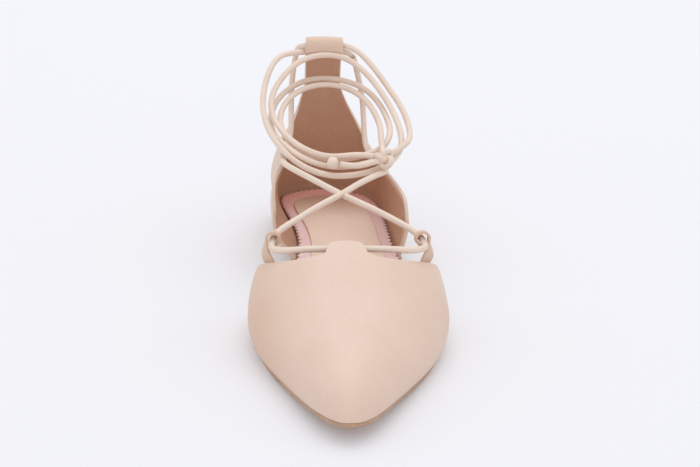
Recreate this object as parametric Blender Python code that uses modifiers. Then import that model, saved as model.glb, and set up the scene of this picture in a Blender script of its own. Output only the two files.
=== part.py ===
"""Lace-up flat, a left shoe: pointed vamp, cut-away sides, heel quarter with a back strap, tied lace.

The shoe stands on the floor at z = 0 with its toe towards -Y and its outer (lateral) side towards +X.
Tables and sizes are in millimetres. A station is the distance from the toe tip along the shoe, and a
turn is the angle that spaces the stations as on a circle, so that toe and heel come out round.
"""
import math

import bmesh
import bpy
import numpy as np

MM = 0.001
GAP = 0.3

# Overall sizes.
LENGTH = 252.0
AXIS_X = 2.1
TOE_SPRING = 6.6
TREAD_FRONT = 72.0
TREAD_BACK = 118.0
HEEL_BREAST = 200.0
HEEL_HEIGHT = 8.6
OUTSOLE = 2.0
INSOLE = 1.6
SOCK = 0.8
PAD = 0.8
WALL = 1.5
FOOT_INSET = 0.8
VAMP_INSET = 0.2
END_BLEND = 0.3
CROWN_SHIFT = -2.0
BELLY_SHARE = 2.6
END_TURN = 0.05
INSOLE_INSET = 3.2
SOCK_INSET = 3.6
SOCK_HEEL = 7.0
PAD_INSET = 11.0
PAD_HEEL = 12.0
HEEL_POWER = 4
LACE = 2.8

# Outline of the sole: station, medial edge, lateral edge.
SOLE = np.array((
    (0.0, -4.2, -4.2),
    (6.0, -11.8, 4.9),
    (20.0, -18.4, 13.0),
    (40.0, -25.6, 24.0),
    (60.0, -32.3, 33.8),
    (78.0, -35.9, 39.2),
    (95.0, -36.1, 40.8),
    (120.0, -31.0, 39.0),
    (150.0, -21.5, 34.6),
    (172.0, -18.2, 32.2),
    (200.0, -20.6, 30.6),
    (225.0, -24.2, 28.6),
    (240.0, -22.2, 23.0),
    (248.0, -14.2, 13.0),
    (252.0, -1.0, -1.0),
))

# Heel block: inset from the sole's outline, height.
HEEL_RINGS = ((2.2, 0.0), (1.4, 0.8), (0.6, HEEL_HEIGHT - GAP))

# Vamp sections: station, crown height over the sole, side bulge, squareness of the arch.
VAMP = np.array((
    (0.0, 0.0, 0.0, 2.00),
    (3.0, 6.4, 0.3, 2.05),
    (10.0, 12.2, 1.1, 2.15),
    (20.0, 17.1, 1.9, 2.20),
    (40.0, 24.2, 2.6, 2.35),
    (60.0, 31.2, 3.4, 2.45),
    (82.0, 40.8, 4.7, 2.60),
    (100.0, 47.1, 4.7, 2.60),
    (122.0, 53.6, 4.0, 2.60),
))

# Back edge of the vamp: place between crown (0) and sole (1), station.
THROAT = np.array((
    (0.00, 81.7),
    (0.15, 81.6),
    (0.25, 82.3),
    (0.35, 84.3),
    (0.45, 87.8),
    (0.55, 93.0),
    (0.65, 100.0),
    (0.75, 106.5),
    (0.87, 112.5),
    (1.00, 117.0),
))

# Heel quarter: turn from the heel (medial below 0), height of the rim, outward flare of the rim, belly.
QUARTER = np.array((
    (-1.250, 31.0, 9.6, 4.2),
    (-1.215, 38.0, 10.4, 4.8),
    (-1.150, 43.5, 9.2, 6.0),
    (-1.000, 46.0, 3.2, 6.8),
    (-0.800, 45.5, 0.2, 6.6),
    (-0.600, 44.0, -1.6, 6.0),
    (-0.440, 44.5, -1.6, 5.0),
    (-0.320, 49.0, -1.0, 3.4),
    (-0.240, 58.0, -0.4, 2.2),
    (-0.175, 66.5, 0.0, 1.4),
    (0.175, 66.5, 0.0, 1.4),
    (0.210, 62.0, 0.0, 1.6),
    (0.310, 52.5, -0.4, 2.0),
    (0.440, 41.5, -1.0, 2.6),
    (0.560, 37.2, -1.6, 3.0),
    (0.700, 36.0, -2.0, 3.0),
    (0.850, 37.0, -1.8, 2.6),
    (1.000, 38.6, -1.2, 2.0),
    (1.150, 40.0, -0.4, 1.5),
    (1.250, 39.6, 0.4, 1.2),
    (1.310, 36.0, 0.8, 1.0),
    (1.340, 30.0, 0.8, 1.0),
))
SWEEP_MEDIAL = -0.02
SWEEP_LATERAL = 0.06
SWEEP_FROM = 0.6
STRAP_TURN = 0.175
STRAP_TOP = 93.0
STRAP_FOOT = 66.5
STRAP_FLAP = 3.2
HEEL_BELLY = 28.0
BELLY_TUCK = 2.0
STRAP_LEAN = 8.0
LEAN_POWER = 1.7
STRAP_RISE = STRAP_TOP - HEEL_BELLY

# Lace guides: folded leather with the lace inside.
TAB_CLEAR = 0.5
STRAP_CLEAR = 0.9
FOLD = LACE / 2 + TAB_CLEAR + WALL
STRAP_FOLD = LACE / 2 + STRAP_CLEAR + WALL
FOLD_ARC = np.radians((36, 72, 108, 144, 180))
TAB_HALF = 0.094
TAB_RUN = 6.8
TAB_TAPER = 0.50
TAB_RETURN = 4.2
TAB_PINCH = 0.6
EAR_STATION = 99.0
EAR_WIDTH = 4.4
EAR_BASE = 8.0
EAR_LEAN = 2.0
EAR_TILT = 0.25
EAR_FLARE = (1.4, 3.6)
EAR_STRIP = 1.2
EAR_CLEAR = 0.4
EAR_HEIGHT = 43.2
EAR_EYE = 2.8
EAR_EYE_MEDIAL = -29.9
EAR_EYE_LATERAL = 33.0
EAR_FOOT = np.array((0.16, 0.10, 0.04, -0.03))
EAR_BEND = np.radians(np.linspace(-10, 230, 10))
EAR_END = (0.2, -5.0)

# Lace from the throat through an ear to the crossing: x, station, z, both sides.
LACE_MEDIAL = np.array((
    (-19.5, 89.0, 42.2),
    (-27.0, 89.9, 41.5),
    (-30.6, 92.6, 41.5),
    (-30.5, 96.0, 42.1),
    (-29.9, 99.6, 42.6),
    (-28.8, 103.2, 43.0),
    (-19.0, 117.0, 44.8),
    (-8.5, 129.3, 46.5),
    (1.3, 138.8, 48.2),
    (12.4, 153.5, 49.0),
    (21.5, 164.0, 49.2),
))
LACE_LATERAL = np.array((
    (21.5, 89.0, 42.1),
    (29.6, 89.9, 41.6),
    (33.4, 92.6, 41.7),
    (33.4, 96.0, 42.2),
    (32.8, 99.6, 42.7),
    (31.7, 103.2, 43.0),
    (22.2, 116.0, 45.2),
    (12.5, 128.5, 46.3),
    (1.3, 141.1, 47.6),
    (-10.5, 153.5, 50.0),
    (-20.0, 165.3, 51.6),
))

# Slack windings of the lace's two halves: x, station, z.
WIND_MEDIAL = np.array((
    (22.1, 164.8, 49.1),
    (24.6, 173.0, 47.2),
    (22.8, 190.0, 45.6),
    (19.0, 212.0, 45.6),
    (18.9, 229.0, 53.0),
    (18.0, 238.5, 66.0),
    (15.2, 241.6, 78.0),
    (12.8, 240.2, 83.8),
    (8.8, 239.0, 85.8),
    (0.0, 240.6, 85.9),
    (-8.8, 238.8, 85.8),
    (-14.5, 236.0, 86.0),
    (-21.5, 231.0, 86.0),
    (-28.5, 219.0, 80.2),
    (-31.5, 203.0, 70.4),
    (-29.5, 190.0, 62.5),
    (-23.0, 178.5, 55.5),
    (-13.0, 170.0, 50.0),
    (0.0, 165.5, 47.5),
    (13.0, 166.5, 48.2),
    (25.0, 172.5, 50.5),
    (32.0, 183.0, 54.5),
    (32.8, 197.0, 60.5),
    (27.5, 214.0, 69.5),
    (18.0, 227.5, 79.2),
    (8.5, 233.4, 84.2),
    (-2.0, 234.4, 85.2),
    (-11.5, 232.0, 83.4),
    (-20.0, 225.4, 78.4),
    (-26.0, 215.0, 72.4),
    (-27.2, 201.0, 66.2),
    (-22.0, 187.5, 60.5),
    (-13.0, 177.0, 56.5),
    (-1.0, 172.0, 54.5),
    (9.0, 172.4, 55.0),
    (14.6, 170.6, 55.6),
    (19.2, 168.2, 55.7),
))
WIND_LATERAL = np.array((
    (-20.5, 166.1, 51.6),
    (-22.6, 174.0, 50.9),
    (-20.4, 200.0, 50.4),
    (-17.0, 225.0, 52.5),
    (-16.6, 237.0, 62.0),
    (-15.6, 242.4, 75.0),
    (-13.6, 243.0, 85.6),
    (-12.3, 240.0, 88.0),
    (-8.6, 237.9, 89.1),
    (0.0, 240.2, 89.3),
    (8.6, 238.6, 89.1),
    (13.4, 237.2, 87.8),
    (19.5, 234.0, 83.6),
    (28.5, 222.0, 74.2),
    (36.0, 206.0, 64.7),
    (37.5, 193.0, 58.8),
    (33.0, 180.0, 57.0),
    (24.5, 174.8, 53.6),
    (13.0, 171.8, 50.8),
    (0.0, 170.5, 50.2),
    (-13.0, 173.8, 52.8),
    (-21.5, 181.5, 56.4),
    (-27.0, 193.0, 59.6),
    (-27.6, 206.0, 63.0),
    (-24.0, 219.0, 67.0),
    (-16.5, 231.0, 70.2),
    (-8.0, 238.0, 71.6),
    (0.0, 239.8, 72.0),
    (9.0, 238.0, 71.4),
    (18.5, 230.5, 69.6),
    (25.0, 218.0, 65.8),
    (28.2, 203.0, 61.2),
    (27.8, 192.0, 58.4),
    (24.0, 184.0, 55.3),
    (12.5, 178.4, 52.4),
    (0.0, 176.8, 51.6),
    (-11.0, 179.5, 53.2),
    (-18.5, 186.5, 56.0),
    (-22.5, 196.0, 59.3),
    (-23.0, 207.0, 62.5),
    (-19.5, 219.0, 66.3),
    (-12.0, 228.5, 69.4),
    (0.0, 233.0, 70.8),
    (10.0, 230.0, 69.9),
    (18.0, 222.0, 66.9),
    (22.5, 210.0, 62.8),
    (23.8, 197.0, 60.2),
    (23.2, 186.0, 58.8),
    (22.9, 177.0, 57.6),
    (23.0, 170.6, 56.6),
))
LACE_END = np.array((
    (19.2, 164.4, 54.8),
    (10.5, 162.9, 53.2),
    (2.9, 164.4, 53.4),
))
TIED_KNOT = (23.2, 166.2, 55.6)
TIED_KNOT_SIZE = 8.0
END_KNOT = (-0.6, 165.4, 53.6)
END_KNOT_SIZE = 6.4
CORD_STEP = 10.5
BAR_STEP = 5.0
BAR_HALF = 10.0
BAR_OVERLAP = 0.6


def spline(knots, values, at):
    """Natural cubic spline through values at knots, read at the given places."""
    at = np.asarray(at, dtype=float)
    step = np.diff(knots)
    rise = (np.diff(values, axis=0).T / step).T
    inner = np.diag(2 * (step[:-1] + step[1:])) + np.diag(step[1:-1], 1) + np.diag(step[1:-1], -1)
    bend = np.zeros_like(values, dtype=float)
    bend[1:-1] = np.linalg.solve(inner, 6 * np.diff(rise, axis=0))
    span = np.clip(np.searchsorted(knots, at) - 1, 0, len(step) - 1)
    width = step[span]
    left = at - knots[span]
    right = knots[span + 1] - at
    if values.ndim > 1:
        width, left, right = width[:, None], left[:, None], right[:, None]
    curve = (bend[span] * right ** 3 + bend[span + 1] * left ** 3) / (6 * width)
    lower = (values[span] / width - bend[span] * width / 6) * right
    upper = (values[span + 1] / width - bend[span + 1] * width / 6) * left
    return curve + lower + upper


def ease(t):
    """Smooth step from 0 to 1."""
    t = np.clip(t, 0.0, 1.0)
    return t * t * (3 - 2 * t)


def turn_of(station):
    """Angle of a station, 0 at the toe tip and pi at the back of the heel."""
    return np.arccos(np.clip(1 - 2 * np.asarray(station, dtype=float) / LENGTH, -1, 1))


def station_of(turn):
    """Station of an angle."""
    return LENGTH / 2 * (1 - np.cos(turn))


def sole_edges(turn):
    """Medial and lateral edge of the sole at an angle."""
    knots = turn_of(SOLE[:, 0])
    return spline(knots, SOLE[:, 1], turn), spline(knots, SOLE[:, 2], turn)


def lift(station):
    """Height of the outsole's underside: toe spring, flat tread, arch, heel seat."""
    spring = TOE_SPRING * np.clip((TREAD_FRONT - station) / TREAD_FRONT, 0, 1) ** 2
    return spring + HEEL_HEIGHT * ease((station - TREAD_BACK) / (HEEL_BREAST - TREAD_BACK))


def feather(station):
    """Height at which the upper stands on the outsole."""
    return lift(station) + OUTSOLE + GAP


def last_point(turn, around):
    """Outer skin of the vamp; around runs from -1 at the medial sole edge over the crown to 1."""
    station = station_of(turn)
    knots = turn_of(VAMP[:, 0])
    crown, bulge, square = (spline(knots, VAMP[:, column], turn) for column in (1, 2, 3))
    medial, lateral = sole_edges(turn)
    half = (lateral - medial) / 2 - VAMP_INSET * np.clip(turn / END_BLEND, 0, 1)
    angle = (1 - around) * math.pi / 2
    height = np.abs(np.sin(angle)) ** (2 / square)
    side = np.sign(np.cos(angle))
    across = side * np.abs(np.cos(angle)) ** (2 / square)
    belly = BELLY_SHARE * np.sqrt(height) * (1 - height)
    middle = (medial + lateral) / 2 + CROWN_SHIFT * np.clip(turn, 0, 1) * height ** 2
    x = middle + half * across + side * bulge * belly
    return np.stack((x, station, feather(station) + crown * height), axis=-1)


def quarter_point(turn, z):
    """Outer skin of the heel quarter; turn is measured from the heel, medial below 0."""
    station = station_of(math.pi - np.abs(turn))
    medial, lateral = sole_edges(math.pi - np.abs(turn))
    side = np.sign(turn)
    middle = (medial + lateral) / 2
    foot = np.where(side > 0, lateral, medial)
    reach = np.abs(foot - middle) - FOOT_INSET * np.clip(np.abs(turn) / END_BLEND, 0, 1)
    rim = spline(QUARTER[:, 0], QUARTER[:, 1], turn)
    flare = spline(QUARTER[:, 0], QUARTER[:, 2], turn)
    belly = spline(QUARTER[:, 0], QUARTER[:, 3], turn)
    share = np.clip((z - feather(station)) / (rim - feather(station)), 0, 1)
    bulge = belly * np.sin(math.pi * share) * np.abs(np.sin(turn))
    x = middle + side * (reach + flare * share + bulge)
    tuck = BELLY_TUCK * np.clip((HEEL_BELLY - z) / HEEL_BELLY, 0, 1) ** 2
    lean = STRAP_LEAN * np.clip((z - HEEL_BELLY) / STRAP_RISE, 0, 1) ** LEAN_POWER
    return np.stack((x, station - FOOT_INSET - (tuck + lean) * np.cos(turn) ** 2, z), axis=-1)


def place(points):
    """Millimetres along the shoe to metres about the middle of its foot."""
    points = np.asarray(points, dtype=float)
    return (points - np.array((AXIS_X, LENGTH / 2, 0.0))) * MM


def make_material(name, color, roughness):
    """Principled material in one colour."""
    material = bpy.data.materials.new(name)
    material.use_nodes = True
    shader = material.node_tree.nodes["Principled BSDF"]
    shader.inputs["Base Color"].default_value = (*color, 1.0)
    shader.inputs["Roughness"].default_value = roughness
    return material


def add_mesh(name, points, faces, material, collection):
    """Mesh object from points in millimetres along the shoe; equal points are merged."""
    mesh = bpy.data.meshes.new(name)
    mesh.from_pydata(place(points).tolist(), [], faces)
    build = bmesh.new()
    build.from_mesh(mesh)
    bmesh.ops.remove_doubles(build, verts=build.verts, dist=GAP * MM / 30)
    bmesh.ops.recalc_face_normals(build, faces=build.faces)
    build.to_mesh(mesh)
    build.free()
    mesh.materials.append(material)
    mesh.shade_smooth()
    mesh.set_sharp_from_angle(angle=math.radians(40))
    shape = bpy.data.objects.new(name, mesh)
    collection.objects.link(shape)
    return shape


def grid_faces(rows, columns, start=0):
    """Quads of a grid whose points are stored row by row."""
    return [
        (start + r * columns + c, start + r * columns + c + 1,
         start + (r + 1) * columns + c + 1, start + (r + 1) * columns + c)
        for r in range(rows - 1) for c in range(columns - 1)
    ]


def face_away(shape, centre):
    """Turn an open skin so that its faces point away from a place inside it."""
    build = bmesh.new()
    build.from_mesh(shape.data)
    inside = np.asarray(place(centre))
    score = sum(
        (np.array(face.calc_center_median()) - inside) @ np.array(face.normal) * face.calc_area()
        for face in build.faces
    )
    if score < 0:
        bmesh.ops.reverse_faces(build, faces=build.faces)
    build.to_mesh(shape.data)
    build.free()


def thicken(shape, thickness, offset):
    """Wall on an open skin."""
    wall = shape.modifiers.new("Wall", "SOLIDIFY")
    wall.thickness = thickness * MM
    wall.offset = offset
    wall.use_even_offset = False


def make_layer(name, inset, base, thickness, material, collection, heel=0.0, rows=34, across=5):
    """Sheet in the sole's outline, drawn in by inset and more at the heel, that follows the sole's lift."""
    turn = np.linspace(END_TURN, math.pi - END_TURN, rows)
    station = LENGTH / 2 - (LENGTH / 2 - inset) * np.cos(turn)
    station = station - heel * np.clip(-np.cos(turn), 0, 1) ** HEEL_POWER
    medial, lateral = sole_edges(turn)
    middle = (medial + lateral) / 2
    half = (lateral - medial) / 2
    half = half - inset * np.tanh(half / (2 * inset + GAP))
    share = np.linspace(-1, 1, across)
    x = middle[:, None] + half[:, None] * share[None, :]
    z = lift(station) + base
    points = np.stack(np.broadcast_arrays(x, station[:, None], z[:, None]), axis=-1)
    sheet = add_mesh(name, points.reshape(-1, 3), grid_faces(rows, across), material, collection)
    face_away(sheet, (0.0, LENGTH / 2, -1000.0))
    thicken(sheet, thickness, 1)
    return sheet


def make_heel(material, collection):
    """Low heel block between the floor and the outsole, drawn in towards the floor."""
    turn = np.linspace(turn_of(HEEL_BREAST), math.pi - END_TURN, 14)
    rings = []
    for inset, z in HEEL_RINGS:
        station = np.minimum(station_of(turn), LENGTH - inset - GAP)
        medial, lateral = sole_edges(turn)
        half = (lateral - medial) / 2
        half = half - inset * np.tanh(half / (2 * inset))
        middle = (medial + lateral) / 2
        right = np.stack((middle + half, station, np.full_like(turn, z)), axis=-1)
        left = np.stack((middle - half, station, np.full_like(turn, z)), axis=-1)
        rings.append(np.concatenate((right, left[::-1])))
    count = len(rings[0])
    points = np.concatenate(rings)
    faces = [
        (r * count + c, r * count + (c + 1) % count, (r + 1) * count + (c + 1) % count, (r + 1) * count + c)
        for r in range(len(rings) - 1) for c in range(count)
    ]
    top = (len(rings) - 1) * count
    half_count = count // 2
    for start in (0, top):
        faces += [
            (start + c, start + c + 1, start + count - 2 - c, start + count - 1 - c)
            for c in range(half_count - 1)
        ]
    return add_mesh("heel", points, faces, material, collection)


def throat_frame():
    """Middle of the throat, the direction of the lace tab there and the direction into the shoe."""
    turn = turn_of(THROAT[0, 1])
    middle, side, front = last_point(np.array((turn, turn, turn - END_TURN)), np.array((0, TAB_HALF, 0)))
    slope = math.atan2(middle[2] - front[2], middle[1] - front[1])
    middle[2] = (middle[2] + side[2]) / 2
    along = np.array((0.0, math.cos(slope), math.sin(slope)))
    down = np.array((0.0, math.sin(slope), -math.cos(slope)))
    return middle, along, down


def make_vamp(material, collection, rows=20, half_columns=15):
    """Pointed vamp with the folded lace tab at the middle of its throat."""
    outer = 1 - (1 - np.linspace(0, 1, half_columns - 2)[1:]) ** 1.25 * (1 - TAB_HALF)
    around = np.concatenate(((0.0, TAB_HALF / 2, TAB_HALF), outer))
    around = np.concatenate((-around[:0:-1], around))
    back = turn_of(spline(THROAT[:, 0], THROAT[:, 1], np.abs(around)))
    share = np.linspace(0, 1, rows) ** 0.9
    turn = share[:, None] * back[None, :]
    points = last_point(turn, np.broadcast_to(around[None, :], turn.shape))
    columns = len(around)
    faces = grid_faces(rows, columns)
    middle = columns // 2
    inner = np.arange(middle - 2, middle + 3)
    edge = points[-1, inner]
    _, along, down = throat_frame()
    runs = [(TAB_RUN / 2, 0.0), (TAB_RUN, 0.0)]
    runs += [(TAB_RUN + FOLD * math.sin(a), FOLD - FOLD * math.cos(a)) for a in FOLD_ARC]
    runs += [(TAB_RUN - TAB_RETURN, 2 * FOLD - TAB_PINCH)]
    tab = []
    for run, drop in runs:
        taper = 1 - TAB_TAPER * np.clip(run / (TAB_RUN + FOLD), 0, 1) ** 2
        row = edge + run * along + drop * down
        row[:, 0] = edge[2, 0] + (edge[:, 0] - edge[2, 0]) * taper
        tab.append(row)
    start = rows * columns
    points = np.concatenate((points.reshape(-1, 3), np.concatenate(tab)))
    seam = (rows - 1) * columns + middle - 2
    faces += [(seam + c, seam + c + 1, start + c + 1, start + c) for c in range(4)]
    faces += grid_faces(len(tab), 5, start)
    vamp = add_mesh("vamp", points, faces, material, collection)
    face_away(vamp, (0.0, 70.0, 12.0))
    thicken(vamp, WALL, -1)
    return vamp


def make_quarter(material, collection, rows=9, side_columns=20, strap_columns=7):
    """Heel quarter with its back strap, whose top is folded forward over the lace."""
    share = np.linspace(0, 1, side_columns + 1)[1:]
    share = (share + np.sin(share * math.pi / 2)) / 2
    medial = -STRAP_TURN + (QUARTER[0, 0] + STRAP_TURN) * share
    lateral = STRAP_TURN + (QUARTER[-1, 0] - STRAP_TURN) * share
    strap = np.linspace(-STRAP_TURN, STRAP_TURN, strap_columns)
    turn = np.concatenate((medial[::-1], strap, lateral))
    rim = spline(QUARTER[:, 0], QUARTER[:, 1], turn)
    rim[side_columns:side_columns + strap_columns] = STRAP_FOOT
    reach = np.where(turn < 0, -QUARTER[0, 0], QUARTER[-1, 0])
    sweep = np.where(turn < 0, SWEEP_MEDIAL, SWEEP_LATERAL)
    sweep = sweep * np.clip((np.abs(turn) / reach - SWEEP_FROM) / (1 - SWEEP_FROM), 0, 1)
    base = feather(station_of(math.pi - np.abs(turn * (1 - sweep))))
    share = np.linspace(0, 1, rows)
    z = base[None, :] + share[:, None] * (rim - base)[None, :]
    swept = turn[None, :] * (1 - sweep[None, :] * (1 - share[:, None]))
    points = quarter_point(swept, z)
    columns = len(turn)
    faces = grid_faces(rows, columns)
    fold_z = STRAP_TOP - STRAP_FOLD
    levels = np.linspace(STRAP_FOOT, fold_z, 6)[1:]
    upper = [quarter_point(strap, np.full_like(strap, level)) for level in levels]
    skin = upper[-1]
    bends = [(STRAP_FOLD - STRAP_FOLD * math.cos(a), STRAP_FOLD * math.sin(a)) for a in FOLD_ARC]
    bends += [(2 * STRAP_FOLD, -STRAP_FLAP / 2), (2 * STRAP_FOLD, -STRAP_FLAP)]
    for forward, rise in bends:
        row = skin.copy()
        row[:, 1] = skin[:, 1] - forward
        row[:, 2] = fold_z + rise
        upper.append(row)
    start = rows * columns
    points = np.concatenate((points.reshape(-1, 3), np.concatenate(upper)))
    seam = (rows - 1) * columns + side_columns
    faces += [(seam + c, seam + c + 1, start + c + 1, start + c) for c in range(strap_columns - 1)]
    faces += grid_faces(len(upper), strap_columns, start)
    quarter = add_mesh("quarter", points, faces, material, collection)
    face_away(quarter, (0.0, 200.0, 30.0))
    thicken(quarter, WALL, -1)
    return quarter


def make_ear(name, eye, material, collection):
    """Lace loop at a throat corner: a strip inside the vamp that narrows, stands up and folds over the lace."""
    side = math.copysign(1, eye)
    inside = WALL + EAR_CLEAR + EAR_STRIP / 2
    edge = THROAT[THROAT[:, 1] > THROAT[0, 1]]
    strips = []
    for share in (-0.5, 0.0, 0.5):
        foot_station = EAR_STATION - EAR_LEAN + EAR_BASE * share
        loop_station = EAR_STATION + EAR_WIDTH * share
        around = side * (np.interp(foot_station, edge[:, 1], edge[:, 0]) + EAR_FOOT)
        turn = np.full_like(around, turn_of(foot_station))
        skin = last_point(turn, around)
        tangent = (last_point(turn, around + 0.01) - skin)[:, (0, 2)]
        tangent = tangent / np.linalg.norm(tangent, axis=1)[:, None]
        normal = np.stack((-tangent[:, 1], tangent[:, 0]), axis=-1)
        foot = skin[:, (0, 2)] - inside * normal
        height = EAR_HEIGHT - EAR_TILT * EAR_WIDTH * share
        path = [(x, foot_station, z) for x, z in foot]
        flare = foot[-1] + (side * EAR_FLARE[0], EAR_FLARE[1])
        path.append((flare[0], (foot_station + loop_station) / 2, flare[1]))
        path += [
            (eye + side * EAR_EYE * math.cos(a), loop_station, height + EAR_EYE * math.sin(a)) for a in EAR_BEND
        ]
        path.append((eye + side * EAR_END[0], loop_station, height + EAR_END[1]))
        strips.append(path)
    points = np.array(strips).transpose(1, 0, 2).reshape(-1, 3)
    ear = add_mesh(name, points, grid_faces(len(strips[0]), 3), material, collection)
    thicken(ear, EAR_STRIP, 0)
    return ear


def route(rows, step):
    """Points of a smooth cord through the rows of a route, about one step apart."""
    knots = np.concatenate(((0.0,), np.cumsum(np.linalg.norm(np.diff(rows, axis=0), axis=1))))
    count = int(round(knots[-1] / step)) + 1
    return spline(knots, rows, np.linspace(0, knots[-1], count))


def make_cord(name, points, material, collection):
    """Round cord with closed ends along points."""
    curve = bpy.data.curves.new(name, "CURVE")
    curve.dimensions = "3D"
    curve.bevel_depth = LACE / 2 * MM
    curve.bevel_resolution = 2
    curve.use_fill_caps = True
    line = curve.splines.new("POLY")
    line.points.add(len(points) - 1)
    line.points.foreach_set("co", np.column_stack((place(points), np.ones(len(points)))).ravel())
    curve.materials.append(material)
    cord = bpy.data.objects.new(name, curve)
    collection.objects.link(cord)
    return cord


def curve_to_mesh(cord, collection):
    """Closed mesh object in place of a cord."""
    shape = cord.evaluated_get(bpy.context.evaluated_depsgraph_get())
    mesh = bpy.data.meshes.new_from_object(shape)
    build = bmesh.new()
    build.from_mesh(mesh)
    bmesh.ops.remove_doubles(build, verts=build.verts, dist=GAP * MM / 30)
    bmesh.ops.recalc_face_normals(build, faces=build.faces)
    build.to_mesh(mesh)
    build.free()
    name = cord.name
    bpy.data.objects.remove(cord)
    solid = bpy.data.objects.new(name, mesh)
    collection.objects.link(solid)
    return solid


def make_crossing(material, collection, cutters):
    """Bars and crossing of the lace as one solid: two cords joined at the throat and where they cross."""
    throat, along, down = throat_frame()
    eye = throat + TAB_RUN * along + FOLD * down
    apart = np.array((1.0, 0.0, 0.0))
    bar = BAR_HALF * apart
    first = route(np.vstack((eye + BAR_OVERLAP * apart, eye - bar, LACE_MEDIAL)), BAR_STEP)
    second = route(np.vstack((eye - BAR_OVERLAP * apart, eye + bar, LACE_LATERAL)), BAR_STEP)
    base = make_cord("lace_cross", first, material, collection)
    other = make_cord("lace_cross_lateral", second, material, collection)
    bpy.context.view_layer.update()
    base = curve_to_mesh(base, collection)
    other = curve_to_mesh(other, cutters)
    other.hide_render = True
    other.display_type = "WIRE"
    union = base.modifiers.new("Join", "BOOLEAN")
    union.operation = "UNION"
    union.solver = "EXACT"
    union.object = other
    return base


def make_knot(name, centre, size, material, collection):
    """Small round knot."""
    bpy.ops.mesh.primitive_ico_sphere_add(subdivisions=2, radius=size / 2 * MM, location=place(centre))
    knot = bpy.context.object
    knot.name = name
    knot.data.name = name
    knot.data.materials.append(material)
    for old in list(knot.users_collection):
        old.objects.unlink(knot)
    collection.objects.link(knot)
    return knot


def main():
    for old in list(bpy.data.objects):
        bpy.data.objects.remove(old)
    shoe = bpy.data.collections.new("lace_up_flat")
    cutters = bpy.data.collections.new("cutters")
    bpy.context.scene.collection.children.link(shoe)
    bpy.context.scene.collection.children.link(cutters)

    upper_leather = make_material("upper_leather", (0.80, 0.63, 0.53), 0.5)
    sole_leather = make_material("sole_leather", (0.34, 0.19, 0.11), 0.6)
    heel_rubber = make_material("heel_rubber", (0.26, 0.15, 0.09), 0.7)
    insole_board = make_material("insole_board", (0.30, 0.20, 0.14), 0.7)
    sock_pink = make_material("sock_pink", (0.84, 0.55, 0.56), 0.7)
    pad_beige = make_material("pad_beige", (0.72, 0.52, 0.41), 0.65)
    lace_cord = make_material("lace_cord", (0.84, 0.71, 0.61), 0.6)

    make_layer("outsole", 0.0, 0.0, OUTSOLE, sole_leather, shoe, rows=44)
    make_heel(heel_rubber, shoe)
    board = OUTSOLE + GAP
    make_layer("insole", INSOLE_INSET, board, INSOLE, insole_board, shoe)
    make_layer("sock", SOCK_INSET, board + INSOLE + GAP, SOCK, sock_pink, shoe, SOCK_HEEL)
    make_layer("pad", PAD_INSET, board + INSOLE + SOCK + 2 * GAP, PAD, pad_beige, shoe, PAD_HEEL)
    make_vamp(upper_leather, shoe)
    make_quarter(upper_leather, shoe)
    make_ear("ear_loop_medial", EAR_EYE_MEDIAL, upper_leather, shoe)
    make_ear("ear_loop_lateral", EAR_EYE_LATERAL, upper_leather, shoe)
    make_crossing(lace_cord, shoe, cutters)
    make_cord("lace_wind_medial", route(WIND_MEDIAL, CORD_STEP), lace_cord, shoe)
    make_cord("lace_wind_lateral", route(WIND_LATERAL, CORD_STEP), lace_cord, shoe)
    make_cord("lace_end", route(LACE_END, CORD_STEP), lace_cord, shoe)
    make_knot("tied_knot", TIED_KNOT, TIED_KNOT_SIZE, lace_cord, shoe)
    make_knot("end_knot", END_KNOT, END_KNOT_SIZE, lace_cord, shoe)


main()
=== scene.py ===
"""Looks of a lace-up flat, a left shoe: leather upper with its lining, sole, footbed, stitches and lace.

Tables and sizes are in millimetres along the shoe, as in its solids: x across with the lateral side
positive, station from the toe tip, z from the floor. A turn is the angle that spaces the stations as on
a circle, 0 at the toe and pi at the heel.
"""
import math

import bmesh
import bpy
import numpy as np
from bpy.props import FloatProperty, FloatVectorProperty, PointerProperty
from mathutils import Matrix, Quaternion, Vector


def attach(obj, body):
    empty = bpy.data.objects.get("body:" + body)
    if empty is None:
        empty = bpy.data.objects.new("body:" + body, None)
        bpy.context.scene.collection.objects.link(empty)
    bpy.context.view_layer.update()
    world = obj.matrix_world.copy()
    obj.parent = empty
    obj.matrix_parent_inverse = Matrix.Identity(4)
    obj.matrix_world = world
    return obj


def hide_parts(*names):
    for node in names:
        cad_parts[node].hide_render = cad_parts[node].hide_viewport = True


bl_info = {
    "name": "Lace-up flat",
    "version": (1, 0, 0),
    "blender": (4, 5, 0),
    "location": "View3D > Sidebar > Flat",
    "description": "Dresses the solids of a lace-up flat in leather, lining, stitches and lace",
    "category": "Mesh",
}

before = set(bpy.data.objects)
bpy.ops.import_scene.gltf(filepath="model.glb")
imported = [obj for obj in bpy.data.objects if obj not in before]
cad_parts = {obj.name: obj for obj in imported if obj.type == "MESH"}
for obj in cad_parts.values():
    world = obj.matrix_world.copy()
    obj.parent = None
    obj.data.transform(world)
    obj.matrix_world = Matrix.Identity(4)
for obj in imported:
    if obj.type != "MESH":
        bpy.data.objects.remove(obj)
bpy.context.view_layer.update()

MM = 0.001
GAP = 0.3

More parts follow.
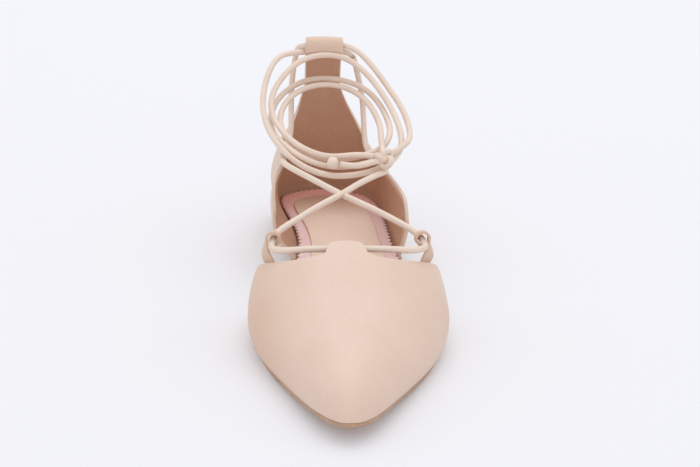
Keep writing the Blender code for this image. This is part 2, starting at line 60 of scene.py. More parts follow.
# Overall sizes.
LENGTH = 252.0
AXIS_X = 2.1
TOE_SPRING = 6.6
TREAD_FRONT = 72.0
TREAD_BACK = 118.0
HEEL_BREAST = 200.0
HEEL_HEIGHT = 8.6
OUTSOLE = 2.0
INSOLE = 1.6
SOCK = 0.8
PAD = 0.8
FOOT_INSET = 0.8
VAMP_INSET = 0.2
END_BLEND = 0.3
CROWN_SHIFT = -2.0
BELLY_SHARE = 2.6
INSOLE_INSET = 3.2
SOCK_INSET = 3.6
SOCK_HEEL = 7.0
PAD_INSET = 11.0
PAD_HEEL = 12.0
HEEL_POWER = 4

# Sheets of the sole and the footbed: rounding of their edges, points on each side of their outlines, and the
# run that the sock's teeth are counted on.
OUTSOLE_ROUND = 0.5
INSOLE_ROUND = 0.4
SOCK_ROUND = 0.15
PAD_ROUND = 0.35
OUTSOLE_POINTS = 320
SHEET_POINTS = 240
TEETH_RUN = 250.0

# Outline of the sole: station, medial edge, lateral edge.
SOLE = np.array((
    (0.0, -4.2, -4.2),
    (6.0, -11.8, 4.9),
    (20.0, -18.4, 13.0),
    (40.0, -25.6, 24.0),
    (60.0, -32.3, 33.8),
    (78.0, -35.9, 39.2),
    (95.0, -36.1, 40.8),
    (120.0, -31.0, 39.0),
    (150.0, -21.5, 34.6),
    (172.0, -18.2, 32.2),
    (200.0, -20.6, 30.6),
    (225.0, -24.2, 28.6),
    (240.0, -22.2, 23.0),
    (248.0, -14.2, 13.0),
    (252.0, -1.0, -1.0),
))

# Heel block: rounding of its back corners, slant of its breast, steps from the middle of a cap to its edge,
# then its rings by inset from the sole's outline and height.
HEEL_ROUND = 0.8
BREAST_SLANT = 0.3
CAP_STEPS = np.array((0.0, 0.4, 0.8, 0.96))
HEEL_RINGS = np.array((
    (3.0, 0.0),
    (2.5, 0.1),
    (2.1, 0.5),
    (2.0, 1.9),
    (2.2, 2.0),
    (2.2, 2.2),
    (1.9, 2.3),
    (0.7, HEEL_HEIGHT - 0.6),
    (0.9, HEEL_HEIGHT - GAP),
))

# Vamp sections: station, crown height over the sole, side bulge, squareness of the arch.
VAMP = np.array((
    (0.0, 0.0, 0.0, 2.00),
    (3.0, 6.4, 0.3, 2.05),
    (10.0, 12.2, 1.1, 2.15),
    (20.0, 17.1, 1.9, 2.20),
    (40.0, 24.2, 2.6, 2.35),
    (60.0, 31.2, 3.4, 2.45),
    (82.0, 40.8, 4.7, 2.60),
    (100.0, 47.1, 4.7, 2.60),
    (122.0, 53.6, 4.0, 2.60),
))

# Back edge of the vamp: place between crown (0) and sole (1), station.
THROAT = np.array((
    (0.00, 81.7),
    (0.15, 81.6),
    (0.25, 82.3),
    (0.35, 84.3),
    (0.45, 87.8),
    (0.55, 93.0),
    (0.65, 100.0),
    (0.75, 106.5),
    (0.87, 112.5),
    (1.00, 117.0),
))

# Soft troughs of the vamp: station, place around it, reach along the shoe, reach around it, depth.
VAMP_CREASES = np.array((
    (47.0, 0.10, 5.0, 0.55, 0.22),
    (58.0, -0.62, 9.0, 0.16, 0.35),
    (62.0, 0.64, 9.0, 0.15, 0.30),
    (74.0, 0.40, 5.0, 0.12, 0.28),
    (74.0, -0.40, 5.0, 0.12, 0.28),
    (92.0, 0.80, 6.0, 0.10, 0.35),
    (90.0, -0.80, 6.0, 0.10, 0.35),
))

# Heel quarter: turn from the heel (medial below 0), height of the rim, outward flare of the rim, belly.
QUARTER = np.array((
    (-1.250, 31.0, 9.6, 4.2),
    (-1.215, 38.0, 10.4, 4.8),
    (-1.150, 43.5, 9.2, 6.0),
    (-1.000, 46.0, 3.2, 6.8),
    (-0.800, 45.5, 0.2, 6.6),
    (-0.600, 44.0, -1.6, 6.0),
    (-0.440, 44.5, -1.6, 5.0),
    (-0.320, 49.0, -1.0, 3.4),
    (-0.240, 58.0, -0.4, 2.2),
    (-0.175, 66.5, 0.0, 1.4),
    (0.175, 66.5, 0.0, 1.4),
    (0.210, 62.0, 0.0, 1.6),
    (0.310, 52.5, -0.4, 2.0),
    (0.440, 41.5, -1.0, 2.6),
    (0.560, 37.2, -1.6, 3.0),
    (0.700, 36.0, -2.0, 3.0),
    (0.850, 37.0, -1.8, 2.6),
    (1.000, 38.6, -1.2, 2.0),
    (1.150, 40.0, -0.4, 1.5),
    (1.250, 39.6, 0.4, 1.2),
    (1.310, 36.0, 0.8, 1.0),
    (1.340, 30.0, 0.8, 1.0),
))
SWEEP_MEDIAL = -0.02
SWEEP_LATERAL = 0.06
SWEEP_FROM = 0.6
STRAP_TURN = 0.175
STRAP_TOP = 93.0
STRAP_FOOT = 66.5
STRAP_FLAP = 3.2
HEEL_BELLY = 28.0
BELLY_TUCK = 2.0
STRAP_LEAN = 8.0
LEAN_POWER = 1.7
STRAP_RISE = STRAP_TOP - HEEL_BELLY

# Places inside the shoe that the skins of the vamp and the quarter face away from.
VAMP_INSIDE = (0.0, 70.0, 12.0)
QUARTER_INSIDE = (0.0, 200.0, 30.0)

# Leather turned over the rim: its width and the softness of its cut edge. Where it isn't turned over: extra
# distance from the rim, turn where that ends, and its run-out.
TURNED = 2.6
TURNED_SOFT = 0.25
BARE_RIM = 10.0
BARE_FROM = 0.35
BARE_RUN = 0.4

# Foot of the upper, drawn in and let down onto the sole: height it takes, draw of the vamp with its start
# and run behind the toe, draw of the quarter, hair left over the sole, rounding of the leather's edges.
FOOT_ROUND = 1.3
VAMP_TUCK = 0.7
TUCK_TOE = (12.0, 40.0)
QUARTER_TUCK = 0.7
FOOT_HAIR = 0.2
EDGE_ROUND = 0.45

# Leather: scale of its fine grain to the pebbles, tone of the grain's valleys, roughness of a coat, sheen of
# the upper, width of the sole's pebbles, and the scale of the sole's fibres and of the lace's creases.
FINE_SCALE = 3.5
VALLEY_TONE = 0.8
COAT_ROUGH = 0.35
UPPER_SHEEN = 0.35
SOLE_CELL = 0.6
SOLE_FIBRES = (60.0, 60.0, 2400.0)
LACE_CREASES = (350.0, 1600.0, 1.0)

# Top of the heel's rubber lift, from where it ends to where the leather is full.
LIFT_TOP = (2.0, 2.1)

# Sockets of a colour Mix node: its two colours and its result.
MIX_FIRST = 6
MIX_SECOND = 7
MIX_RESULT = 2

# Footbed: pebbles of the board and of the leathers, then where the painted shading under the heel starts and
# is full, along the shoe from its middle, and what red, green and blue are multiplied by there: a painted
# shadow on the sock and the pad, painted light on the board.
BOARD_CELL = 0.8
FOOTBED_CELL = 0.7
PAINTED_HEEL_SHADING = (65.0, 105.0)
PAINTED_LIGHT_BOARD = (1.60, 1.45, 1.35)
PAINTED_SHADOW_SOCK = (0.95, 0.72, 0.64)
PAINTED_SHADOW_PAD = (0.62, 0.50, 0.42)

# Painted shade on the upper's leather, a warmer and darker tone that stands in for shade and for warm light
# bounced onto it: from where it starts down each side and behind the toe (and its run), then its share on
# both sides, on the fold and on the lace loops.
PAINTED_SHADE_FROM = 0.28
PAINTED_SHADE_TOE = (10.0, 60.0)
PAINTED_SHADE_MEDIAL = 0.76
PAINTED_SHADE_LATERAL = 0.2
PAINTED_SHADE_FOLD = 1.0
PAINTED_SHADE_EAR = 0.7

# Soft troughs of the quarter, which fade out near the rim: turn, height, reach in both, depth.
CREASE_FADE = 3.0
QUARTER_CREASES = np.array((
    (-0.74, 30.0, 0.05, 16.0, 0.45),
    (0.72, 26.0, 0.05, 14.0, 0.40),
    (-1.02, 33.0, 0.07, 12.0, 0.35),
    (1.08, 28.0, 0.06, 10.0, 0.30),
    (0.00, 62.0, 0.30, 3.5, 0.35),
    (0.00, 74.0, 0.30, 3.0, 0.25),
))

# Lace guides: folded leather with the lace inside.
LACE = 2.8
WALL = 1.5
TAB_CLEAR = 0.5
STRAP_CLEAR = 0.9
FOLD = LACE / 2 + TAB_CLEAR + WALL
STRAP_FOLD = LACE / 2 + STRAP_CLEAR + WALL
TAB_HALF = 0.094
TAB_RUN = 6.8
TAB_TAPER = 0.50
TAB_RETURN = 4.2
TAB_PINCH = 0.6
SHOULDER = 1.8
SHOULDER_RUN = 0.028
HALF_TURN = np.radians(np.linspace(0, 180, 15)[1:])
EAR_STATION = 99.0
EAR_WIDTH = 4.4
EAR_BASE = 8.0
EAR_LEAN = 2.0
EAR_TILT = 0.25
EAR_FLARE = (1.4, 3.6)
EAR_STRIP = 1.2
EAR_ROUND = 0.3
EAR_CLEAR = 0.4
EAR_HEIGHT = 43.2
EAR_EYE = 2.8
EAR_EYES = {"medial": -29.9, "lateral": 33.0}
EAR_FOOT = np.array((0.16, 0.10, 0.04, -0.03))
EAR_BEND = np.radians(np.linspace(-10, 230, 10))
EAR_END = (0.2, -5.0)
EAR_STEP = 0.5

# Lace from the throat through an ear to the crossing: x, station, z, both sides.
LACE_MEDIAL = np.array((
    (-19.5, 89.0, 42.2),
    (-27.0, 89.9, 41.5),
    (-30.6, 92.6, 41.5),
    (-30.5, 96.0, 42.1),
    (-29.9, 99.6, 42.6),
    (-28.8, 103.2, 43.0),
    (-19.0, 117.0, 44.8),
    (-8.5, 129.3, 46.5),
    (1.3, 138.8, 48.2),
    (12.4, 153.5, 49.0),
))
LACE_LATERAL = np.array((
    (21.5, 89.0, 42.1),
    (29.6, 89.9, 41.6),
    (33.4, 92.6, 41.7),
    (33.4, 96.0, 42.2),
    (32.8, 99.6, 42.7),
    (31.7, 103.2, 43.0),
    (22.2, 116.0, 45.2),
    (12.5, 128.5, 46.3),
    (1.3, 141.1, 47.6),
    (-10.5, 153.5, 50.0),
))

# Slack windings of the lace's two halves: x, station, z.
WIND_MEDIAL = np.array((
    (22.1, 164.8, 49.1),
    (24.6, 173.0, 47.2),
    (22.8, 190.0, 45.6),
    (19.0, 212.0, 45.6),
    (18.9, 229.0, 53.0),
    (18.0, 238.5, 66.0),
    (15.2, 241.6, 78.0),
    (12.8, 240.2, 83.8),
    (8.8, 239.0, 85.8),
    (0.0, 240.6, 85.9),
    (-8.8, 238.8, 85.8),
    (-14.5, 236.0, 86.0),
    (-21.5, 231.0, 86.0),
    (-28.5, 219.0, 80.2),
    (-31.5, 203.0, 70.4),
    (-29.5, 190.0, 62.5),
    (-23.0, 178.5, 55.5),
    (-13.0, 170.0, 50.0),
    (0.0, 165.5, 47.5),
    (13.0, 166.5, 48.2),
    (25.0, 172.5, 50.5),
    (32.0, 183.0, 54.5),
    (32.8, 197.0, 60.5),
    (27.5, 214.0, 69.5),
    (18.0, 227.5, 79.2),
    (8.5, 233.4, 84.2),
    (-2.0, 234.4, 85.2),
    (-11.5, 232.0, 83.4),
    (-20.0, 225.4, 78.4),
    (-26.0, 215.0, 72.4),
    (-27.2, 201.0, 66.2),
    (-22.0, 187.5, 60.5),
    (-13.0, 177.0, 56.5),
    (-1.0, 172.0, 54.5),
    (9.0, 172.4, 55.0),
    (14.6, 170.6, 55.6),
    (19.2, 168.2, 55.7),
))
WIND_LATERAL = np.array((
    (-20.5, 166.1, 51.6),
    (-22.6, 174.0, 50.9),
    (-20.4, 200.0, 50.4),
    (-17.0, 225.0, 52.5),
    (-16.6, 237.0, 62.0),
    (-15.6, 242.4, 75.0),
    (-13.6, 243.0, 85.6),
    (-12.3, 240.0, 88.0),
    (-8.6, 237.9, 89.1),
    (0.0, 240.2, 89.3),
    (8.6, 238.6, 89.1),
    (13.4, 237.2, 87.8),
    (19.5, 234.0, 83.6),
    (28.5, 222.0, 74.2),
    (36.0, 206.0, 64.7),
    (37.5, 193.0, 58.8),
    (33.0, 180.0, 57.0),
    (24.5, 174.8, 53.6),
    (13.0, 171.8, 50.8),
    (0.0, 170.5, 50.2),
    (-13.0, 173.8, 52.8),
    (-21.5, 181.5, 56.4),
    (-27.0, 193.0, 59.6),
    (-27.6, 206.0, 63.0),
    (-24.0, 219.0, 67.0),
    (-16.5, 231.0, 70.2),
    (-8.0, 238.0, 71.6),
    (0.0, 239.8, 72.0),
    (9.0, 238.0, 71.4),
    (18.5, 230.5, 69.6),
    (25.0, 218.0, 65.8),
    (28.2, 203.0, 61.2),
    (27.8, 192.0, 58.4),
    (24.0, 184.0, 55.3),
    (12.5, 178.4, 52.4),
    (0.0, 176.8, 51.6),
    (-11.0, 179.5, 53.2),
    (-18.5, 186.5, 56.0),
    (-22.5, 196.0, 59.3),
    (-23.0, 207.0, 62.5),
    (-19.5, 219.0, 66.3),
    (-12.0, 228.5, 69.4),
    (0.0, 233.0, 70.8),
    (10.0, 230.0, 69.9),
    (18.0, 222.0, 66.9),
    (22.5, 210.0, 62.8),
    (23.8, 197.0, 60.2),
    (23.2, 186.0, 58.8),
    (22.9, 177.0, 57.6),
    (23.0, 170.6, 56.6),
))
LACE_END = np.array((
    (19.2, 164.4, 54.8),
    (10.5, 162.9, 53.2),
    (2.9, 164.4, 53.4),
))

# Tied knot: its middle, size, direction across, lean, depth of its strands and how thin they are pressed.
TIED_KNOT = np.array((23.2, 166.2, 55.6))
TIED_SIZE = 8.2
TIED_ACROSS = np.array((0.94, 0.34, 0.0))
TIED_LEAN = math.radians(50)
TIED_DEPTH = 1.15
TIED_PRESS = 0.96

# Ball knot: its middle, size, height to width, and the depth, slant and bluntness of its ridges.
END_KNOT = np.array((-0.6, 165.4, 53.6))
END_SIZE = 5.8
END_TALL = 1.12
END_RIDGE = 0.16
END_SLANT = 1.5
END_BLUNT = 0.6

# Run of the lace: half its straight bar at the tab, distance between its rings, angles and rise of its domed
# ends, and a direction that no stretch of it follows, which its rings are set by.
BAR_HALF = 10.0
LACE_STEP = 1.2
DOME = np.radians((5, 30, 60))
DOME_RISE = 0.4
RING_GUIDE = np.array((0.62, 0.31, -0.72))

# Seams: distance from the edge of the leather, how far they run, distance from the strap's sides as a turn,
# on its flap the share of its width and the height over its edge, how deep the thread sinks in, and the
# bluntness of a stitch's ends.
SEAM_MARGIN = 2.3
THROAT_SEAM = (TAB_HALF + 0.10, 0.97)
RIM_SEAM = (STRAP_TURN + 0.05, 0.965)
STRAP_SEAM = 0.045
FLAP_SEAM = (0.88, 1.1)
SEAM_SINK = 0.2
SEAM_BLUNT = 0.6

# Stage: camera spot, the place on the shoe that it looks at, and its tilt before it turns there.
CAMERA_SPOT = np.array((-53.8, -535.7, 296.2))
CAMERA_AIM = np.array((4.7, 126.0, 34.7))
CAMERA_PITCH = math.radians(19)

# Stage in metres: the nearest that the camera sees, reach and glow of the floor, tone of the surround, size
# and spot of each light, and the place that both look at.
CAMERA_NEAR = 0.01
FLOOR_REACH = 6.0
FLOOR_GLOW = 0.16
SURROUND = (0.97, 0.98, 1.0)
KEY_SIZE = 1.8
KEY_SPOT = Vector((0.2, 1.0, 2.3))
FILL_SIZE = 1.6
FILL_SPOT = Vector((-0.2, -1.9, 1.3))
LIGHT_AIM = Vector((0, 0, 0.03))


def size_prop(name, description, size):
    """Property for a length, its default given in millimetres."""
    return FloatProperty(name=name, description=description, default=size * MM, unit="LENGTH", precision=5)


def tone_prop(name, description, colour):
    """Property for a colour."""
    return FloatVectorProperty(name=name, description=description, default=colour, subtype="COLOR")


class FlatSizes(bpy.types.PropertyGroup):
    """Sizes of the shoe's finish."""

    wall: size_prop("Wall", "Thickness of the leather with its lining", WALL)
    lace: size_prop("Lace", "Diameter of the lace", LACE)
    edge_round: size_prop("Edge rounding", "Rounding of the cut leather edges", EDGE_ROUND)
    stitch: size_prop("Stitch", "Length of one stitch", 1.7)
    stitch_pitch: size_prop("Stitch pitch", "Distance between stitches", 2.4)
    thread: size_prop("Thread", "Thickness of the thread", 0.36)
    tooth: size_prop("Pinking", "Depth of the zigzag teeth of the sock", 1.6)
    tooth_pitch: size_prop("Pinking pitch", "Width of one tooth of the sock", 3.0)
    grain: size_prop("Grain", "Width of one pebble of the leather's grain", 0.8)


class FlatColours(bpy.types.PropertyGroup):
    """Colours of the shoe's materials."""

    upper: tone_prop("Upper", "Nude leather of the upper", (0.79, 0.61, 0.505))
    upper_shade: tone_prop("Upper shade", "Deeper tone in its drift and grain", (0.735, 0.54, 0.43))
    # Painted shade: the warmer, darker tone laid on the upper where it stands in shade.
    painted_shade: tone_prop("Burnish", "Warmer tone of the upper where it is shaded", (0.70, 0.465, 0.33))
    lining: tone_prop("Lining", "Brown lining leather", (0.63, 0.375, 0.25))
    lining_shade: tone_prop("Lining shade", "Deeper tone of the lining", (0.52, 0.29, 0.185))
    lace: tone_prop("Lace", "Leather lace", (0.845, 0.70, 0.60))
    lace_shade: tone_prop("Lace shade", "Deeper tone of the lace", (0.74, 0.575, 0.465))
    sole: tone_prop("Sole", "Tan-brown sole edge", (0.58, 0.365, 0.24))
    sole_shade: tone_prop("Sole shade", "Burnished tone of the sole", (0.36, 0.215, 0.13))
    lift: tone_prop("Heel lift", "Dark rubber under the heel", (0.07, 0.05, 0.04))
    board: tone_prop("Insole board", "Dark leatherboard", (0.34, 0.235, 0.16))
    sock: tone_prop("Sock", "Pink pinked lining", (0.98, 0.75, 0.755))
    sock_shade: tone_prop("Sock shade", "Deeper tone of the pink lining", (0.92, 0.64, 0.645))
    pad: tone_prop("Pad", "Beige sock leather", (0.96, 0.765, 0.64))
    pad_shade: tone_prop("Pad shade", "Deeper tone of the beige leather", (0.88, 0.67, 0.54))
    thread: tone_prop("Thread", "Thread of the seams", (0.90, 0.71, 0.60))
    floor: tone_prop("Floor", "Pale floor", (0.735, 0.735, 0.765))


class FlatStage(bpy.types.PropertyGroup):
    """Camera and light."""

    lens: FloatProperty(name="Lens", description="Focal length", default=84.0, subtype="DISTANCE_CAMERA")
    key: FloatProperty(name="Key light", description="Power of the large light", default=16.0, unit="POWER")
    fill: FloatProperty(name="Fill light", description="Power of the front light", default=4.5, unit="POWER")
    ambient: FloatProperty(name="Ambient", description="Strength of the white surround", default=0.84)


def spline(knots, values, at):
    """Natural cubic spline through values at knots, read at the given places."""
    at = np.asarray(at, dtype=float)
    step = np.diff(knots)
    rise = (np.diff(values, axis=0).T / step).T
    inner = np.diag(2 * (step[:-1] + step[1:])) + np.diag(step[1:-1], 1) + np.diag(step[1:-1], -1)
    bend = np.zeros_like(values, dtype=float)
    bend[1:-1] = np.linalg.solve(inner, 6 * np.diff(rise, axis=0))
    span = np.clip(np.searchsorted(knots, at) - 1, 0, len(step) - 1)
    width = step[span]
    left = at - knots[span]
    right = knots[span + 1] - at
    if values.ndim > 1:
        width, left, right = width[:, None], left[:, None], right[:, None]
    curve = (bend[span] * right ** 3 + bend[span + 1] * left ** 3) / (6 * width)
    lower = (values[span] / width - bend[span] * width / 6) * right
    upper = (values[span + 1] / width - bend[span + 1] * width / 6) * left
    return curve + lower + upper


def ease(t):
    """Smooth step from 0 to 1: 3t^2 - 2t^3."""
    t = np.clip(t, 0.0, 1.0)
    return t * t * (3 - 2 * t)


def turn_of(station):
    """Angle of a station, 0 at the toe tip and pi at the back of the heel."""
    return np.arccos(np.clip(1 - 2 * np.asarray(station, dtype=float) / LENGTH, -1, 1))


def station_of(turn):
    """Station of an angle: half the length times one minus its cosine."""
    return LENGTH / 2 * (1 - np.cos(turn))


def sole_edges(turn):
    """Medial and lateral edge of the sole at an angle, splines through the outline's table."""
    knots = turn_of(SOLE[:, 0])
    return spline(knots, SOLE[:, 1], turn), spline(knots, SOLE[:, 2], turn)


def lift(station):
    """Height of the outsole's underside: toe spring as a square, flat tread, eased rise to the heel."""
    spring = TOE_SPRING * np.clip((TREAD_FRONT - station) / TREAD_FRONT, 0, 1) ** 2
    return spring + HEEL_HEIGHT * ease((station - TREAD_BACK) / (HEEL_BREAST - TREAD_BACK))


def feather(station):
    """Height at which the upper stands on the outsole."""
    return lift(station) + OUTSOLE + GAP


def last_point(turn, around):
    """Outer skin of the vamp: a superellipse over the sole with a belly; around is -1 medial, 0 crown, 1."""
    station = station_of(turn)
    knots = turn_of(VAMP[:, 0])
    crown, bulge, square = (spline(knots, VAMP[:, column], turn) for column in (1, 2, 3))
    medial, lateral = sole_edges(turn)
    half = (lateral - medial) / 2 - VAMP_INSET * np.clip(turn / END_BLEND, 0, 1)
    angle = (1 - around) * math.pi / 2
    height = np.abs(np.sin(angle)) ** (2 / square)
    side = np.sign(np.cos(angle))
    across = side * np.abs(np.cos(angle)) ** (2 / square)
    belly = BELLY_SHARE * np.sqrt(height) * (1 - height)
    middle = (medial + lateral) / 2 + CROWN_SHIFT * np.clip(turn, 0, 1) * height ** 2
    x = middle + half * across + side * bulge * belly
    return np.stack((x, station, feather(station) + crown * height), axis=-1)


def quarter_point(turn, z):
    """Outer skin of the heel quarter: the sole's outline flared to its rim.

    The turn counts from the heel, medial below 0.
    """
    station = station_of(math.pi - np.abs(turn))
    medial, lateral = sole_edges(math.pi - np.abs(turn))
    side = np.sign(turn)
    middle = (medial + lateral) / 2
    foot = np.where(side > 0, lateral, medial)
    reach = np.abs(foot - middle) - FOOT_INSET * np.clip(np.abs(turn) / END_BLEND, 0, 1)
    rim = spline(QUARTER[:, 0], QUARTER[:, 1], turn)
    flare = spline(QUARTER[:, 0], QUARTER[:, 2], turn)
    belly = spline(QUARTER[:, 0], QUARTER[:, 3], turn)
    share = np.clip((z - feather(station)) / (rim - feather(station)), 0, 1)
    bulge = belly * np.sin(math.pi * share) * np.abs(np.sin(turn))
    x = middle + side * (reach + flare * share + bulge)
    tuck = BELLY_TUCK * np.clip((HEEL_BELLY - z) / HEEL_BELLY, 0, 1) ** 2
    lean = STRAP_LEAN * np.clip((z - HEEL_BELLY) / STRAP_RISE, 0, 1) ** LEAN_POWER
    return np.stack((x, station - FOOT_INSET - (tuck + lean) * np.cos(turn) ** 2, z), axis=-1)


def throat_station(around):
    """Back edge of the vamp with the shoulders that rise into the lace tab, falling off exponentially."""
    away = np.clip(np.abs(around) - TAB_HALF, 0, None)
    return spline(THROAT[:, 0], THROAT[:, 1], np.abs(around)) + SHOULDER * np.exp(-away / SHOULDER_RUN)


def throat_frame():
    """Middle of the throat, the direction of the lace tab there and the direction into the shoe."""
    turn = turn_of(THROAT[0, 1])
    step = 0.05
    middle, side, front = last_point(np.array((turn, turn, turn - step)), np.array((0, TAB_HALF, 0)))
    slope = math.atan2(middle[2] - front[2], middle[1] - front[1])
    middle[2] = (middle[2] + side[2]) / 2
    along = np.array((0.0, math.cos(slope), math.sin(slope)))
    down = np.array((0.0, math.sin(slope), -math.cos(slope)))
    return middle, along, down


def troughs(table, first, second):
    """Sum of soft troughs: each row's depth times a bell curve in both coordinates."""
    first, second = first[..., None], second[..., None]
    bell = np.exp(-((first - table[:, 0]) / table[:, 2]) ** 2 - ((second - table[:, 1]) / table[:, 3]) ** 2)
    return (table[:, 4] * bell).sum(axis=-1)


def press(normal, draw):
    """How far the upper's foot comes down: the gap below it and what its draw and its rounded edge lift it.

    With d the downward part of the normal, an edge of radius r is lifted by
    draw d + r (d + sqrt(1 - d^2) - 1).
    """
    down = np.clip(-normal[..., 2], 0, 1)
    return GAP - FOOT_HAIR + draw * down + EDGE_ROUND * (down + np.sqrt(1 - down ** 2) - 1)


def place(points):
    """Millimetres along the shoe to metres about the middle of its foot."""
    return (np.asarray(points, dtype=float) - np.array((AXIS_X, LENGTH / 2, 0.0))) * MM


def unit(vectors):
    """Vectors of length one along the last axis."""
    return vectors / np.maximum(np.linalg.norm(vectors, axis=-1, keepdims=True), 1e-9)


def grid_normals(points):
    """Normals of a grid of points: cross product of the steps along its rows and columns."""
    return unit(np.cross(np.gradient(points, axis=0), np.gradient(points, axis=1)))


def outward_normals(points, column, inside):
    """Normals of a grid, turned to face away from a place inside, judged in its middle row and a column."""
    normal = grid_normals(points)
    row = len(points) // 2
    return normal * np.sign(normal[row, column] @ (points[row, column] - inside))


def grid_faces(rows, columns, closed=False, start=0):
    """Quads of a grid stored row by row; closed joins the last column to the first."""
    row = np.arange(rows - 1)[:, None] * columns
    column = np.arange(columns if closed else columns - 1)[None, :]
    after = (column + 1) % columns
    quads = np.stack((row + column, row + after, row + columns + after, row + columns + column), axis=-1)
    return quads.reshape(-1, 4) + start


def join_faces(first, second, count):
    """Quads between two rows of as many points, each row given by the index of its first point."""
    step = np.arange(count - 1)
    return np.stack((first + step, first + step + 1, second + step + 1, second + step), axis=-1)


def with_strip(points, strip, column):
    """Points and faces of a grid with a narrower one joined to its last row, from a column on."""
    rows, columns = points.shape[:2]
    start = rows * columns
    faces = np.concatenate((
        grid_faces(rows, columns), join_faces(start - columns + column, start, strip.shape[1]),
        grid_faces(*strip.shape[:2], start=start)))
    return np.concatenate((points.reshape(-1, 3), strip.reshape(-1, 3))), faces


def run_along(line):
    """Distance from the start of a line to each of its points."""
    return np.concatenate(((0.0,), np.cumsum(np.linalg.norm(np.diff(line, axis=0), axis=1))))


def read_line(line, run, at):
    """Values of a line at some distances from its start, between those at its own distances."""
    return np.stack([np.interp(at, run, column) for column in line.T], axis=-1)


def add_piece(name, points, faces, materials, away=None, uv=None, values=None):
    """Mesh object from points in millimetres along the shoe, smooth, with equal points merged.

    away is a place that an open skin's faces turn from; a closed skin's faces turn outwards.
    """
    mesh = bpy.data.meshes.new(name)
    mesh.from_pydata(place(points).tolist(), [], np.asarray(faces).tolist())
    if uv is not None:
        layer = mesh.uv_layers.new(name="UVMap")
        corners = np.empty(len(mesh.loops), dtype=np.int32)
        mesh.loops.foreach_get("vertex_index", corners)
        layer.data.foreach_set("uv", np.asarray(uv, dtype=np.float32)[corners].ravel())
    for key, column in (values or {}).items():
        layer = mesh.attributes.new(key, "FLOAT", "POINT")
        layer.data.foreach_set("value", np.asarray(column, dtype=np.float32))
    build = bmesh.new()
    build.from_mesh(mesh)
    bmesh.ops.remove_doubles(build, verts=build.verts, dist=0.001 * MM)
    bmesh.ops.recalc_face_normals(build, faces=build.faces)
    if away is not None:
        inside = Vector(place(away))
        score = sum((f.calc_center_median() - inside).dot(f.normal) * f.calc_area() for f in build.faces)
        if score < 0:
            bmesh.ops.reverse_faces(build, faces=build.faces)
    build.to_mesh(mesh)
    build.free()
    for material in materials:
        mesh.materials.append(material)
    mesh.shade_smooth()
    piece = bpy.data.objects.new(name, mesh)
    bpy.context.scene.collection.objects.link(piece)
    return piece


def dress(piece, slot, *nodes):
    """The piece moves with the shoe and the given solids are hidden; the slot is not used."""
    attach(piece, "root")
    if nodes:
        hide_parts(*nodes)


def give_wall(piece, thickness, offset, rounding, lining=False):
    """Wall on an open skin with rounded edges; its inner side may take the second material."""
    wall = piece.modifiers.new("Wall", "SOLIDIFY")
    wall.thickness = thickness
    wall.offset = offset
    wall.use_even_offset = False
    wall.material_offset = 1 if lining else 0
    edge = piece.modifiers.new("Edge", "BEVEL")
    edge.width = rounding
    edge.segments = 3
    edge.limit_method = "ANGLE"
    edge.angle_limit = math.radians(50)


def feed(tree, node, values):
    """Gives inputs of a node their plain values, or links them to the sockets that feed them."""
    for key, value in values.items():
        if isinstance(value, bpy.types.NodeSocket):
            tree.links.new(value, node.inputs[key])
        else:
            node.inputs[key].default_value = value


def shader_node(tree, kind, values=None, **settings):
    """New node with its settings and what its inputs take."""
    made = tree.nodes.new(kind)
    for key, value in settings.items():
        setattr(made, key, value)
    feed(tree, made, values or {})
    return made


def map_range(tree, value, **bounds):
    """Socket of a value mapped between bounds, by default from 0 to 1 onto 0 to 1."""
    names = {"low": "From Min", "high": "From Max", "first": "To Min", "last": "To Max"}
    values = {names[key]: bound for key, bound in bounds.items()}
    return shader_node(tree, "ShaderNodeMapRange", {"Value": value, **values}).outputs["Result"]


def reckon(tree, operation, first, second):
    """Socket of a sum or product of two values."""
    return shader_node(tree, "ShaderNodeMath", {0: first, 1: second}, operation=operation).outputs[0]


def mixed(tree, share, first, second):
    """Socket of a colour between two, by a share; each of the two is a plain colour or a socket."""
    values = {"Factor": share, MIX_FIRST: first, MIX_SECOND: second}
    return shader_node(tree, "ShaderNodeMix", values, data_type="RGBA").outputs[MIX_RESULT]


def opaque(colour):
    """Colour with full alpha."""
    return (*colour, 1.0)


def object_spot(tree):
    """Socket of the place on the piece, in metres."""
    return shader_node(tree, "ShaderNodeTexCoord").outputs["Object"]


def object_axis(tree, axis):
    """Socket of one coordinate of the place on the piece."""
    return shader_node(tree, "ShaderNodeSeparateXYZ", {"Vector": object_spot(tree)}).outputs[axis]


def new_group(name, inputs, outputs):
    """Empty shader node group with named sockets, or the one that exists."""
    group = bpy.data.node_groups.get(name)
    if group:
        return group, None, None
    group = bpy.data.node_groups.new(name, "ShaderNodeTree")
    for key, kind in inputs:
        group.interface.new_socket(name=key, in_out="INPUT", socket_type=kind)
    for key, kind in outputs:
        group.interface.new_socket(name=key, in_out="OUTPUT", socket_type=kind)
    return group, group.nodes.new("NodeGroupInput"), group.nodes.new("NodeGroupOutput")


def new_material(name):
    """New material, its node tree and its shader."""
    material = bpy.data.materials.new(name)
    material.use_nodes = True
    return material, material.node_tree, material.node_tree.nodes["Principled BSDF"]


def material_named(name, make, *details):
    """The material of that name, made on first use."""
    found = bpy.data.materials.get(name)
    return found if found else make(name, *details)


